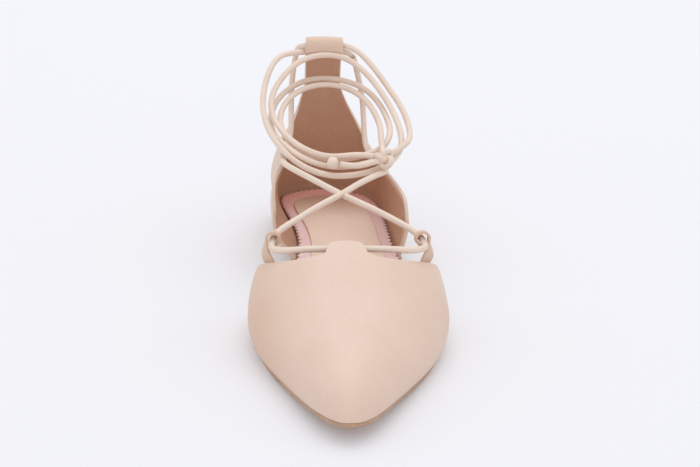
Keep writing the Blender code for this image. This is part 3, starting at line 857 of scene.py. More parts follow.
def grain_group():
    """Pebble grain: smooth cells with fine noise on them; gives its height and a mask of the valleys."""
    inputs = (("Vector", "NodeSocketVector"), ("Cells", "NodeSocketFloat"), ("Fine", "NodeSocketFloat"))
    outputs = (("Height", "NodeSocketFloat"), ("Valley", "NodeSocketFloat"))
    group, entry, leave = new_group("leather_grain", inputs, outputs)
    if entry is None:
        return group
    spot, scale, fine = (entry.outputs[key] for key, _ in inputs)
    cells = shader_node(
        group, "ShaderNodeTexVoronoi",
        {"Vector": spot, "Scale": scale, "Smoothness": 0.45, "Randomness": 0.9}, feature="SMOOTH_F1")
    pebble = map_range(group, cells.outputs["Distance"], low=0.1, high=0.75, first=1.0, last=0.0)
    noise = shader_node(
        group, "ShaderNodeTexNoise",
        {"Vector": spot, "Scale": reckon(group, "MULTIPLY", scale, FINE_SCALE), "Detail": 3.0})
    share = reckon(group, "MULTIPLY", noise.outputs["Fac"], fine)
    feed(group, leave, {
        "Height": reckon(group, "ADD", pebble, share),
        "Valley": map_range(group, pebble, low=0.45, high=0.0, first=0.0, last=1.0),
    })
    return group


def drift_group():
    """Slow drift between two colours by soft noise."""
    inputs = (
        ("Vector", "NodeSocketVector"), ("Scale", "NodeSocketFloat"),
        ("Light", "NodeSocketColor"), ("Deep", "NodeSocketColor"),
    )
    group, entry, leave = new_group("tone_drift", inputs, (("Color", "NodeSocketColor"),))
    if entry is None:
        return group
    spot, scale, light, deep = (entry.outputs[key] for key, _ in inputs)
    noise = shader_node(
        group, "ShaderNodeTexNoise", {"Vector": spot, "Scale": scale, "Detail": 4.0, "Roughness": 0.55})
    share = map_range(group, noise.outputs["Fac"], low=0.35, high=0.75, first=0.0, last=0.75)
    feed(group, leave, {"Color": mixed(group, share, light, deep)})
    return group


def drifting(tree, spot, scale, light, deep):
    """Socket of a tone that drifts between two colours."""
    values = {"Vector": spot, "Scale": scale, "Light": opaque(light), "Deep": opaque(deep)}
    return shader_node(tree, "ShaderNodeGroup", values, node_tree=drift_group()).outputs["Color"]


def leather(name, light, deep, cell, depth, fine=0.35, rough=(0.5, 0.62), drift=28.0, valley=0.35, coat=0.0):
    """Leather: drifting tone, deeper in the grain's valleys, with the grain as bump and in its gloss.

    Gives the material, its tree, its shader and the socket of its colour, for a finish to be laid over it.
    """
    material, tree, shader = new_material(name)
    spot = object_spot(tree)
    base = drifting(tree, spot, drift, light, deep)
    grain = shader_node(
        tree, "ShaderNodeGroup", {"Vector": spot, "Cells": 1 / cell, "Fine": fine}, node_tree=grain_group())
    shade = reckon(tree, "MULTIPLY", grain.outputs["Valley"], valley)
    colour = mixed(tree, shade, base, opaque(VALLEY_TONE * np.array(deep)))
    bump = shader_node(
        tree, "ShaderNodeBump", {"Strength": 1.0, "Distance": depth, "Height": grain.outputs["Height"]})
    feed(tree, shader, {
        "Base Color": colour,
        "Roughness": map_range(tree, grain.outputs["Valley"], first=rough[0], last=rough[1]),
        "Normal": bump.outputs["Normal"],
        "Coat Weight": coat,
        "Coat Roughness": COAT_ROUGH,
    })
    return material, tree, shader, colour


def upper_leather(name, colours, sizes):
    """Nude leather of the upper, fine pebble grain under a soft sheen, warmer and darker where shade is
    painted on.
    """
    material, tree, shader, colour = leather(
        name, colours.upper, colours.upper_shade, sizes.grain, 0.02 * MM,
        rough=(0.42, 0.52), valley=0.12, coat=0.06)
    # Painted shade: an attribute on the pieces mixes in the warmer, darker tone.
    painted_shade = shader_node(tree, "ShaderNodeAttribute", attribute_name="painted_shade")
    finish = mixed(tree, painted_shade.outputs["Fac"], colour, opaque(colours.painted_shade))
    feed(tree, shader, {"Base Color": finish, "Specular IOR Level": UPPER_SHEEN})
    return material


def lining_leather(name, colours, cell):
    """Brown lining with the upper's leather turned over its rim, up to a cut edge near the rim."""
    material, tree, shader, colour = leather(
        name, colours.lining, colours.lining_shade, cell, 0.012 * MM, rough=(0.55, 0.62), valley=0.2)
    rim = shader_node(tree, "ShaderNodeAttribute", attribute_name="rim")
    band = map_range(tree, rim.outputs["Fac"], low=TURNED - TURNED_SOFT, high=TURNED + TURNED_SOFT)
    feed(tree, shader, {"Base Color": mixed(tree, band, opaque(colours.upper_shade), colour)})
    return material


def sole_leather(name, colours):
    """Sole leather with darker fibres in thin layers along its edge."""
    material, tree, shader, colour = leather(
        name, colours.sole, colours.sole_shade, SOLE_CELL * MM, 0.03 * MM,
        fine=0.8, rough=(0.42, 0.6), drift=60.0)
    layers = shader_node(tree, "ShaderNodeMapping", {"Vector": object_spot(tree), "Scale": SOLE_FIBRES})
    fibre = shader_node(
        tree, "ShaderNodeTexNoise", {"Vector": layers.outputs["Vector"], "Scale": 1.0, "Detail": 2.0})
    share = map_range(tree, fibre.outputs["Fac"], low=0.5, high=0.7, last=0.45)
    feed(tree, shader, {"Base Color": mixed(tree, share, colour, opaque(colours.sole_shade))})
    return material


def heel_finish(name, colours):
    """Stacked heel in sole leather with a dark rubber lift below the groove."""
    material, tree, shader, colour = leather(
        name, colours.sole, colours.sole_shade, SOLE_CELL * MM, 0.03 * MM,
        fine=0.8, rough=(0.45, 0.6), drift=60.0)
    above = map_range(tree, object_axis(tree, "Z"), low=LIFT_TOP[0] * MM, high=LIFT_TOP[1] * MM)
    feed(tree, shader, {"Base Color": mixed(tree, above, opaque(colours.lift), colour)})
    return material


def footbed_leather(name, light, deep, cell, painted_shading):
    """Footbed leather; under the heel, painted light and shade: the deeper tone times painted_shading."""
    material, tree, shader, colour = leather(
        name, light, deep, cell * MM, 0.02 * MM, rough=(0.55, 0.65), valley=0.2)
    # Painted shading under the heel, where the strap, quarter and laces cast their shadow.
    values = {"Value": object_axis(tree, "Y"), "From Min": PAINTED_HEEL_SHADING[0] * MM, "From Max": PAINTED_HEEL_SHADING[1] * MM}
    heel = shader_node(tree, "ShaderNodeMapRange", values, interpolation_type="SMOOTHSTEP")
    finish = mixed(tree, heel.outputs["Result"], colour, opaque(np.array(painted_shading) * deep))
    feed(tree, shader, {"Base Color": finish})
    return material


def lace_leather(name, colours):
    """Round leather lace: a tone that drifts along it, fine lengthwise creases and a soft sheen."""
    material, tree, shader = new_material(name)
    spot = shader_node(tree, "ShaderNodeUVMap", uv_map="UVMap").outputs["UV"]
    creases = shader_node(tree, "ShaderNodeMapping", {"Vector": spot, "Scale": LACE_CREASES})
    crease = shader_node(
        tree, "ShaderNodeTexNoise", {"Vector": creases.outputs["Vector"], "Scale": 1.0, "Detail": 3.0})
    bump = shader_node(
        tree, "ShaderNodeBump", {"Strength": 0.7, "Distance": 0.08 * MM, "Height": crease.outputs["Fac"]})
    feed(tree, shader, {
        "Base Color": drifting(tree, spot, 40.0, colours.lace, colours.lace_shade),
        "Roughness": 0.55,
        "Normal": bump.outputs["Normal"],
    })
    return material


def thread_cotton(name, colours):
    """Thread of the seams, with a fine twist."""
    return leather(
        name, colours.thread, colours.upper_shade, 0.3 * MM, 0.02 * MM, rough=(0.6, 0.7), drift=200.0)[0]


def floor_paint(name, colours):
    """Pale matt floor with a faint glow of its own, as on a light table, slightly uneven in its gloss."""
    material, tree, shader = new_material(name)
    noise = shader_node(tree, "ShaderNodeTexNoise", {"Vector": object_spot(tree), "Scale": 30.0})
    feed(tree, shader, {
        "Base Color": opaque(colours.floor),
        "Emission Color": opaque(colours.floor),
        "Emission Strength": FLOOR_GLOW,
        "Roughness": map_range(tree, noise.outputs["Fac"], first=0.75, last=0.85),
    })
    return material


def edge_of_sole(inset, heel, count):
    """Outline of the sole drawn in by inset and more at the heel: lateral side toe to heel, then back.

    Gives evenly spaced points, the middle line between the two sides and the outward normals.
    """
    fine = np.linspace(0, math.pi, 2000)
    station = LENGTH / 2 - (LENGTH / 2 - inset) * np.cos(fine)
    station = station - heel * np.clip(-np.cos(fine), 0, 1) ** HEEL_POWER
    medial, lateral = sole_edges(fine)
    half = (lateral - medial) / 2
    half = half - inset * np.tanh(half / (2 * inset + GAP))
    sides = []
    for sign in (1, -1):
        line = np.stack(((medial + lateral) / 2 + sign * half, station), axis=-1)
        run = run_along(line)
        sides.append(read_line(line, run, np.linspace(0, run[-1], count)))
    loop = np.concatenate((sides[0], sides[1][-2:0:-1]))
    middle = (sides[0] + sides[1]) / 2
    middle = np.concatenate((middle, middle[-2:0:-1]))
    step = np.roll(loop, -1, axis=0) - np.roll(loop, 1, axis=0)
    return loop, middle, unit(np.stack((step[:, 1], -step[:, 0]), axis=-1))


def sheet_grid(inset, base, thickness, rounding, count, heel=0.0, teeth=0.0):
    """Closed sheet in the sole's outline: from its middle line over the top, round the edge and underneath.

    Each row is a share of the way from the middle line to the edge, an outward step and a height; the
    height follows the sole's lift at its station. Teeth move every second pair of edge points inwards.
    """
    loop, middle, normal = edge_of_sole(inset, heel, count)
    inner = np.array((0.0, 0.3, 0.6, 0.8, 0.92, 0.98))
    arc = np.radians((90, 60, 30, 0))
    out, down = rounding * np.cos(arc) - rounding, rounding - rounding * np.sin(arc)
    top = [(share, -rounding, thickness) for share in inner]
    edge = [(1.0, *step) for step in zip(out, thickness - down)]
    edge += [(1.0, *step) for step in zip(out[::-1], down[::-1])]
    rows = np.array(top + edge + [(share, -rounding, 0.0) for share in inner[::-1]])
    low, high = loop[:, 1].min(), loop[:, 1].max()
    margin = 4 * rounding + 2 * teeth
    middle = np.stack((middle[:, 0], np.clip(middle[:, 1], low + margin, high - margin)), axis=-1)
    wave = np.abs(np.arange(len(loop)) % 4 - 2) / 2
    share, out, up = (rows[:, k, None] for k in range(3))
    outward = out * share - teeth * wave[None, :] * (share >= inner[-1])
    flat = middle[None] + share[..., None] * (loop - middle)[None] + outward[..., None] * normal[None]
    z = lift(flat[..., 1]) + base + up
    points = np.concatenate((flat, z[..., None]), axis=-1)
    return points.reshape(-1, 3), grid_faces(len(rows), len(loop), closed=True)


def heel_grid(count=70, breast_count=14):
    """Heel block: rings of the sole's outline behind its breast, closed by a straight breast and flat caps.

    The back of a ring is the soft minimum of the outline's station and of the ring's own end.
    """
    turn = np.linspace(turn_of(HEEL_BREAST), math.pi, count)
    medial, lateral = sole_edges(turn)
    middle = (medial + lateral) / 2
    inset = HEEL_RINGS[:, 0, None]
    half = (lateral - medial) / 2
    half = half - inset * np.tanh(half / (2 * inset))
    back = LENGTH - inset - GAP
    station = -HEEL_ROUND * np.logaddexp(-station_of(turn) / HEEL_ROUND, -back / HEEL_ROUND)
    station = np.maximum(station, HEEL_BREAST + BREAST_SLANT * inset)
    right = np.stack((middle + half, station), axis=-1)
    left = np.stack((middle - half, station), axis=-1)[:, ::-1]
    across = np.linspace(0, 1, breast_count + 2)[1:-1, None]
    breast = left[:, -1:, :] * (1 - across) + right[:, :1, :] * across
    rings = np.concatenate((right, left[:, 1:], breast), axis=1)
    z = np.broadcast_to(HEEL_RINGS[:, 1, None], rings.shape[:2])
    rings = np.concatenate((rings, z[..., None]), axis=-1)
    caps = []
    for ring in (rings[0], rings[-1]):
        centre = ring.mean(axis=0)
        caps.append(centre + (ring - centre) * CAP_STEPS[:, None, None])
    points = np.concatenate((caps[0], rings, caps[1][::-1]))
    return points.reshape(-1, 3), grid_faces(len(points), rings.shape[1], closed=True)


def tab_grid(around):
    """Lace tab: rows that leave the throat straight, turn half round the lace and come back under.

    It narrows by the square of its run. Gives its points and the places across the throat where it starts.
    """
    _, along, down = throat_frame()
    foot = last_point(np.full(len(around), turn_of(THROAT[0, 1])), around)
    runs = [(run, 0.0) for run in np.linspace(SHOULDER, TAB_RUN, 6)]
    runs += [(TAB_RUN + FOLD * math.sin(a), FOLD - FOLD * math.cos(a)) for a in HALF_TURN]
    runs += [(TAB_RUN - TAB_RETURN * share, 2 * FOLD - TAB_PINCH * share) for share in (0.33, 0.66, 1.0)]
    runs = np.array(runs)
    tab = foot[None] + runs[:, :1, None] * along + runs[:, 1:, None] * down
    taper = 1 - TAB_TAPER * np.clip(runs[:, :1] / (TAB_RUN + FOLD), 0, 1) ** 2
    middle = foot[len(around) // 2, 0]
    tab[..., 0] = middle + (foot[:, 0] - middle) * taper
    return tab[1:], tab[0, :, 0]


def vamp_grid(rows=120, tab_columns=9, side_columns=96, crowd_rows=0.9, crowd_columns=1.25):
    """Vamp skin with the tab: superellipse sections from the toe to the throat, sunk by tuck and creases.

    Gives points, faces, the distance from the rim and the share of painted shade.
    """
    outer = 1 - (1 - np.linspace(0, 1, side_columns + 1)[1:]) ** crowd_columns * (1 - TAB_HALF)
    around = np.concatenate((np.linspace(0, TAB_HALF, tab_columns), outer))
    around = np.concatenate((-around[:0:-1], around))
    turn = (np.linspace(0, 1, rows) ** crowd_rows)[:, None] * turn_of(throat_station(around))[None, :]
    place_around = np.broadcast_to(around[None, :], turn.shape)
    points = last_point(turn, place_around)
    middle = len(around) // 2
    normal = outward_normals(points, middle, VAMP_INSIDE)
    height = points[..., 2] - feather(points[..., 1])
    foot = np.exp(-(height / FOOT_ROUND) ** 2)
    draw = VAMP_TUCK * ease((points[..., 1] - TUCK_TOE[0]) / TUCK_TOE[1])
    ends = press(normal[:, (0, -1)], draw[:, (0, -1)])
    sink = draw * foot + troughs(VAMP_CREASES, points[..., 1], place_around)
    points = points - sink[..., None] * normal
    points[..., 2] -= foot * np.where(place_around < 0, ends[:, :1], ends[:, 1:])
    rim = np.linalg.norm(points[-1:] - points, axis=-1)
    inner = slice(middle - tab_columns + 1, middle + tab_columns)
    tab, points[-1, inner, 0] = tab_grid(around[inner])
    # Painted shade down the sides, stronger on the medial side and faded out behind the toe.
    painted_shading = ease((np.abs(place_around) - PAINTED_SHADE_FROM) / (1 - PAINTED_SHADE_FROM))
    painted_shading = painted_shading * np.where(place_around < 0, PAINTED_SHADE_MEDIAL, PAINTED_SHADE_LATERAL)
    painted_shading = painted_shading * ease((station_of(turn) - PAINTED_SHADE_TOE[0]) / PAINTED_SHADE_TOE[1])
    points, faces = with_strip(points, tab, inner.start)
    bare = np.zeros(tab.shape[0] * tab.shape[1])
    return points, faces, np.concatenate((rim.ravel(), bare)), np.concatenate((painted_shading.ravel(), bare))


def strap_grid(turn, levels_up=24):
    """Strap: rows up from the quarter, then its top turned half round the lace and down in front."""
    fold_z = STRAP_TOP - STRAP_FOLD
    levels = np.linspace(STRAP_FOOT, fold_z, levels_up)[1:]
    upright = quarter_point(*np.broadcast_arrays(turn[None, :], levels[:, None]))
    bends = [(STRAP_FOLD - STRAP_FOLD * math.cos(a), STRAP_FOLD * math.sin(a)) for a in HALF_TURN]
    bends += [(2 * STRAP_FOLD, -STRAP_FLAP * part) for part in (0.25, 0.5, 0.75, 1.0)]
    bends = np.array(bends)
    folded = np.broadcast_to(upright[-1], (len(bends), len(turn), 3)).copy()
    folded[..., 1] -= bends[:, :1]
    folded[..., 2] = fold_z + bends[:, 1:]
    return np.concatenate((upright, folded))


def quarter_grid(rows=44, side_columns=70, strap_columns=21):
    """Quarter skin with the strap: the flared outline up to its rim, sunk by tuck and creases.

    Gives points, faces, the distance from the rim and the share of painted shade.
    """
    share = np.linspace(0, 1, side_columns + 1)[1:]
    share = (share + np.sin(share * math.pi / 2)) / 2
    medial = -STRAP_TURN + (QUARTER[0, 0] + STRAP_TURN) * share
    lateral = STRAP_TURN + (QUARTER[-1, 0] - STRAP_TURN) * share
    strap = np.linspace(-STRAP_TURN, STRAP_TURN, strap_columns)
    turn = np.concatenate((medial[::-1], strap, lateral))
    rim = spline(QUARTER[:, 0], QUARTER[:, 1], turn)
    rim[side_columns:side_columns + strap_columns] = STRAP_FOOT
    reach = np.where(turn < 0, -QUARTER[0, 0], QUARTER[-1, 0])
    sweep = np.where(turn < 0, SWEEP_MEDIAL, SWEEP_LATERAL)
    sweep = sweep * np.clip((np.abs(turn) / reach - SWEEP_FROM) / (1 - SWEEP_FROM), 0, 1)
    base = feather(station_of(math.pi - np.abs(turn * (1 - sweep))))
    share = np.linspace(0, 1, rows)
    z = base[None, :] + share[:, None] * (rim - base)[None, :]
    swept = turn[None, :] * (1 - sweep[None, :] * (1 - share[:, None]))
    points = quarter_point(swept, z)
    strap_points = strap_grid(strap)
    normal = outward_normals(points, side_columns // 2, QUARTER_INSIDE)
    foot = np.exp(-((z - base[None, :]) / FOOT_ROUND) ** 2)
    fade = np.clip((rim[None, :] - z) / CREASE_FADE, 0, 1)
    sink = QUARTER_TUCK * foot + troughs(QUARTER_CREASES, swept, z) * fade
    points = points - sink[..., None] * normal
    points[..., 2] -= foot * press(normal[0], QUARTER_TUCK)
    middle = strap_points[0, strap_columns // 2, 0]
    half = np.abs(strap_points[0, 0, 0] - middle)
    inside = half - np.abs(points[..., 0] - middle)
    above = np.broadcast_to(rim[None, :] - z, points.shape[:2])
    within = (np.abs(turn) <= STRAP_TURN)[None, :]
    front = np.minimum(
        np.linalg.norm(points - points[:, :1], axis=-1), np.linalg.norm(points - points[:, -1:], axis=-1))
    distance = np.minimum(np.where(within, above + np.clip(inside, 0, None), above), front)
    distance = distance + BARE_RIM * (1 - ease((np.abs(swept) - BARE_FROM) / BARE_RUN))
    side = half - np.abs(strap_points[..., 0] - middle)
    points, faces = with_strip(points, strap_points, side_columns)
    # Painted shade on the strap, rising from its foot towards its fold.
    fold = PAINTED_SHADE_FOLD * ease((strap_points[..., 2].ravel() - STRAP_FOOT) / STRAP_RISE)
    painted_shading = np.concatenate((np.zeros(distance.size), fold))
    return points, faces, np.concatenate((distance.ravel(), side.ravel() + BARE_RIM)), painted_shading


def route(rows, step):
    """Points of a smooth cord through the rows of a route, about one step apart."""
    knots = run_along(rows)
    count = int(round(knots[-1] / step)) + 1
    return spline(knots, rows, np.linspace(0, knots[-1], count))


def ear_grid(eye, columns=9):
    """Lace loop: a strip up the vamp's inner side that narrows, leans out and arcs over the lace."""
    side = math.copysign(1, eye)
    inside = WALL + EAR_CLEAR + EAR_STRIP / 2
    share = np.linspace(-0.5, 0.5, columns)[None, :]
    foot_station = EAR_STATION - EAR_LEAN + EAR_BASE * share
    loop_station = EAR_STATION + EAR_WIDTH * share
    edge = THROAT[THROAT[:, 1] > THROAT[0, 1]]
    around = side * (np.interp(foot_station, edge[:, 1], edge[:, 0]) + EAR_FOOT[:, None])
    turn = np.broadcast_to(turn_of(foot_station), around.shape)
    skin = last_point(turn, around)
    step = 0.01
    tangent = unit((last_point(turn, around + step) - skin)[..., (0, 2)])
    foot_x = skin[..., 0] + inside * tangent[..., 1]
    foot_z = skin[..., 2] - inside * tangent[..., 0]
    height = EAR_HEIGHT - EAR_TILT * EAR_WIDTH * share
    bend = EAR_BEND[:, None]
    rows = (
        (foot_x, foot_station, foot_z),
        (foot_x[-1:] + side * EAR_FLARE[0], (foot_station + loop_station) / 2, foot_z[-1:] + EAR_FLARE[1]),
        (eye + side * EAR_EYE * np.cos(bend), loop_station, height + EAR_EYE * np.sin(bend)),
        (np.array(((eye + side * EAR_END[0],),)), loop_station, height + EAR_END[1]),
    )
    strip = np.concatenate([np.stack(np.broadcast_arrays(*row), axis=-1) for row in rows])
    knots = run_along(strip[:, columns // 2])
    count = int(round(knots[-1] / EAR_STEP)) + 1
    points = spline(knots, strip.reshape(len(strip), -1), np.linspace(0, knots[-1], count))
    return points.reshape(-1, 3), grid_faces(count, columns)


def tube_grid(path, radius, sides=16, closed=False):
    """Circle carried along a path, square to it, with UV in metres along and around; open ends are domed."""
    step = np.roll(path, -1, axis=0) - np.roll(path, 1, axis=0) if closed else np.gradient(path, axis=0)
    tangent = unit(step)
    across = unit(np.cross(tangent, unit(RING_GUIDE)))
    upward = np.cross(tangent, across)
    size = np.full(len(path), radius)
    if not closed:
        dome = radius * np.sin(DOME)
        out = DOME_RISE * radius * np.cos(DOME)[:, None]
        size = np.concatenate((dome, size, dome[::-1]))
        path = np.concatenate((path[0] - out * tangent[0], path, path[-1] + out[::-1] * tangent[-1]))
        across, upward = (np.pad(a, ((len(DOME), len(DOME)), (0, 0)), mode="edge") for a in (across, upward))
    angle = np.linspace(0, 2 * math.pi, sides, endpoint=False)
    ring = np.cos(angle)[None, :, None] * across[:, None] + np.sin(angle)[None, :, None] * upward[:, None]
    points = path[:, None] + size[:, None, None] * ring
    uv = np.stack(np.broadcast_arrays(run_along(path)[:, None], radius * angle[None, :]), axis=-1) * MM
    faces = grid_faces(len(path), sides, closed=True)
    if closed:
        last = (len(path) - 1) * sides + np.arange(sides)
        first = np.arange(sides)
        ends = np.stack((last, np.roll(last, -1), np.roll(first, -1), first), axis=-1)
        faces = np.concatenate((faces, ends))
    return points.reshape(-1, 3), faces, uv.reshape(-1, 2)


def knot_path(centre, size, count=160):
    """Overhand knot drawn tight: a trefoil, whose formula is 6 across, with its plane leaned back."""
    t = np.linspace(0, 2 * math.pi, count, endpoint=False)
    x = np.sin(t) + 2 * np.sin(2 * t)
    y = np.cos(t) - 2 * np.cos(2 * t)
    z = -TIED_DEPTH * np.sin(3 * t)
    rise = math.sin(TIED_LEAN)
    up = np.array((-TIED_ACROSS[1] * rise, TIED_ACROSS[0] * rise, math.cos(TIED_LEAN)))
    axes = np.stack((TIED_ACROSS, up, np.cross(TIED_ACROSS, up)))
    return centre + size / 6 * (np.stack((x, y, z), axis=-1) @ axes)


def ball_grid(centre, size, rows=40, columns=64):
    """Ball knot: a ball of the given size with wraps of the lace as slanting ridges round it."""
    tilt = np.linspace(0, math.pi, rows)[:, None]
    angle = np.linspace(0, 2 * math.pi, columns, endpoint=False)[None, :]
    ridge = np.abs(np.cos(END_SLANT * tilt + angle)) ** END_BLUNT
    radius = size / 2 * (1 - END_RIDGE + END_RIDGE * ridge * np.sin(tilt))
    out = radius * np.sin(tilt)
    offsets = np.stack(np.broadcast_arrays(
        out * np.cos(angle), out * np.sin(angle), END_TALL * radius * np.cos(tilt)), axis=-1)
    uv = np.stack(np.broadcast_arrays(angle * size / 2 * MM, tilt * size / 2 * MM), axis=-1)
    return (centre + offsets).reshape(-1, 3), grid_faces(rows, columns, closed=True), uv.reshape(-1, 2)


def even_run(points, normals, pitch):
    """Places, directions and normals at even steps along a line."""
    step = 0.1
    run = run_along(points)
    at = np.arange(pitch / 2, run[-1], pitch)
    spots = read_line(points, run, at)
    ahead = read_line(points, run, at + step)
    return spots, unit(ahead - spots), unit(read_line(normals, run, at))


def stitch_grid(lines, length, pitch, thread, sides=6, rings=5):
    """Stitches along lines: one small spindle for each, all in one array."""
    tilt = np.linspace(0, math.pi, rings)[:, None]
    angle = np.linspace(0, 2 * math.pi, sides, endpoint=False)[None, :]
    radius = np.sin(tilt) ** SEAM_BLUNT * thread / 2
    spindle = np.stack(np.broadcast_arrays(
        -np.cos(tilt) * length / 2, radius * np.cos(angle), radius * np.sin(angle)), axis=-1).reshape(-1, 3)
    runs = [even_run(points, normals, pitch) for points, normals in lines]
    spots, ahead, facing = (np.concatenate(parts) for parts in zip(*runs))
    across = unit(np.cross(facing, ahead))
    points = (
        spots[:, None] + spindle[None, :, :1] * ahead[:, None] + spindle[None, :, 1:2] * across[:, None]
        + spindle[None, :, 2:] * facing[:, None])
    one = grid_faces(rings, sides, closed=True)
    faces = one[None] + (np.arange(len(spots)) * len(spindle))[:, None, None]
    return points.reshape(-1, 3), faces.reshape(-1, 4)


def skin_line(surface, first, second, away, raise_by):
    """Line on a skin with its normals, from two coordinates; raised off the skin along its normal."""
    step = 1e-3
    points = surface(first, second)
    normal = unit(np.cross(surface(first + step, second) - points, surface(first, second + step) - points))
    normal = normal * np.sign(((points - np.asarray(away)) * normal).sum(axis=-1, keepdims=True))
    return points + raise_by * normal, normal


def seam_lines(thread):
    """Seams: along the throat on both sides, round the quarter's rim, down its strap and on its flap."""
    rise = -SEAM_SINK * thread
    lines = []
    for side in (-1, 1):
        around = side * np.linspace(*THROAT_SEAM, 120)
        turn = turn_of(spline(THROAT[:, 0], THROAT[:, 1], np.abs(around)) - SEAM_MARGIN)
        lines.append(skin_line(last_point, turn, around, VAMP_INSIDE, rise))
        end = QUARTER[0, 0] if side < 0 else QUARTER[-1, 0]
        turn = np.linspace(side * RIM_SEAM[0], end * RIM_SEAM[1], 160)
        z = spline(QUARTER[:, 0], QUARTER[:, 1], turn) - SEAM_MARGIN
        lines.append(skin_line(quarter_point, turn, z, QUARTER_INSIDE, rise))
        z = np.linspace(STRAP_FOOT, STRAP_TOP - STRAP_FOLD, 40)
        turn = np.full_like(z, side * (STRAP_TURN - STRAP_SEAM))
        lines.append(skin_line(quarter_point, turn, z, QUARTER_INSIDE, rise))
    strap = np.linspace(-STRAP_TURN, STRAP_TURN, 40) * FLAP_SEAM[0]
    flap = quarter_point(strap, np.full_like(strap, STRAP_TOP - STRAP_FOLD))
    flap[:, 1] -= 2 * STRAP_FOLD + rise
    flap[:, 2] += FLAP_SEAM[1] - STRAP_FLAP
    lines.append((flap, np.broadcast_to(np.array((0.0, -1.0, 0.0)), flap.shape)))
    return lines


class FLAT_OT_make_sole(bpy.types.Operator):
    """Outsole and heel"""

    bl_idname = "flat.make_sole"
    bl_label = "Sole and heel"

    def execute(self, context):
        colours = context.scene.flat_colours
        sole = material_named("sole_edge", sole_leather, colours)
        points, faces = sheet_grid(0.0, 0.0, OUTSOLE, OUTSOLE_ROUND, OUTSOLE_POINTS)
        dress(add_piece("sole_outsole", points, faces, [sole]), "sole_leather", "outsole")
        heel = material_named("heel_stack", heel_finish, colours)
        points, faces = heel_grid()
        dress(add_piece("heel_block", points, faces, [heel]), "heel_rubber", "heel")
        return {"FINISHED"}


class FLAT_OT_make_footbed(bpy.types.Operator):
    """Insole board, pinked sock and smooth pad"""

    bl_idname = "flat.make_footbed"
    bl_label = "Footbed"

    def execute(self, context):
        colours = context.scene.flat_colours
        sizes = context.scene.flat_sizes
        # Under the heel: painted light on the board, painted shadow on the sock and the pad.
        board, sock, pad = (
            material_named(name, footbed_leather, *details) for name, *details in (
                ("insole_leatherboard", colours.board, colours.board, BOARD_CELL, PAINTED_LIGHT_BOARD),
                ("sock_leather", colours.sock, colours.sock_shade, FOOTBED_CELL, PAINTED_SHADOW_SOCK),
                ("pad_leather", colours.pad, colours.pad_shade, FOOTBED_CELL, PAINTED_SHADOW_PAD),
            ))
        base = OUTSOLE + GAP
        points, faces = sheet_grid(INSOLE_INSET, base, INSOLE, INSOLE_ROUND, SHEET_POINTS)
        dress(add_piece("footbed_board", points, faces, [board]), "insole_board", "insole")
        base += INSOLE + GAP
        count = 4 * int(TEETH_RUN * MM / sizes.tooth_pitch) + 1
        tooth = sizes.tooth / MM
        points, faces = sheet_grid(SOCK_INSET - tooth / 2, base, SOCK, SOCK_ROUND, count, SOCK_HEEL, tooth)
        dress(add_piece("footbed_sock", points, faces, [sock]), "sock_pink", "sock")
        base += SOCK + GAP
        points, faces = sheet_grid(PAD_INSET, base, PAD, PAD_ROUND, SHEET_POINTS, PAD_HEEL)
        dress(add_piece("footbed_pad", points, faces, [pad]), "pad_beige", "pad")
        return {"FINISHED"}


class FLAT_OT_make_upper(bpy.types.Operator):
    """Vamp, quarter and the two lace loops"""

    bl_idname = "flat.make_upper"
    bl_label = "Upper"

    def execute(self, context):
        colours = context.scene.flat_colours
        sizes = context.scene.flat_sizes
        skin = material_named("upper_nude", upper_leather, colours, sizes)
        lining = material_named("upper_lining", lining_leather, colours, sizes.grain)
        for name, grid, away in (
            ("vamp", vamp_grid, VAMP_INSIDE),
            ("quarter", quarter_grid, QUARTER_INSIDE),
        ):
            # Each skin carries its distance from the rim and its share of painted shade.
            points, faces, rim, painted_shade = grid()
            values = {"rim": rim, "painted_shade": painted_shade}
            piece = add_piece("upper_" + name, points, faces, [skin, lining], away, values=values)
            give_wall(piece, sizes.wall, -1, sizes.edge_round, lining=True)
            dress(piece, "upper_leather", name)
        for name, eye in EAR_EYES.items():
            points, faces = ear_grid(eye)
            # Painted shade over the whole lace loop.
            values = {"painted_shade": np.full(len(points), PAINTED_SHADE_EAR)}
            piece = add_piece(
                "upper_ear_" + name, points, faces, [skin], (eye, EAR_STATION, EAR_HEIGHT), values=values)
            give_wall(piece, EAR_STRIP * MM, 0, EAR_ROUND * MM)
            dress(piece, "upper_leather", "ear_loop_" + name)
        return {"FINISHED"}


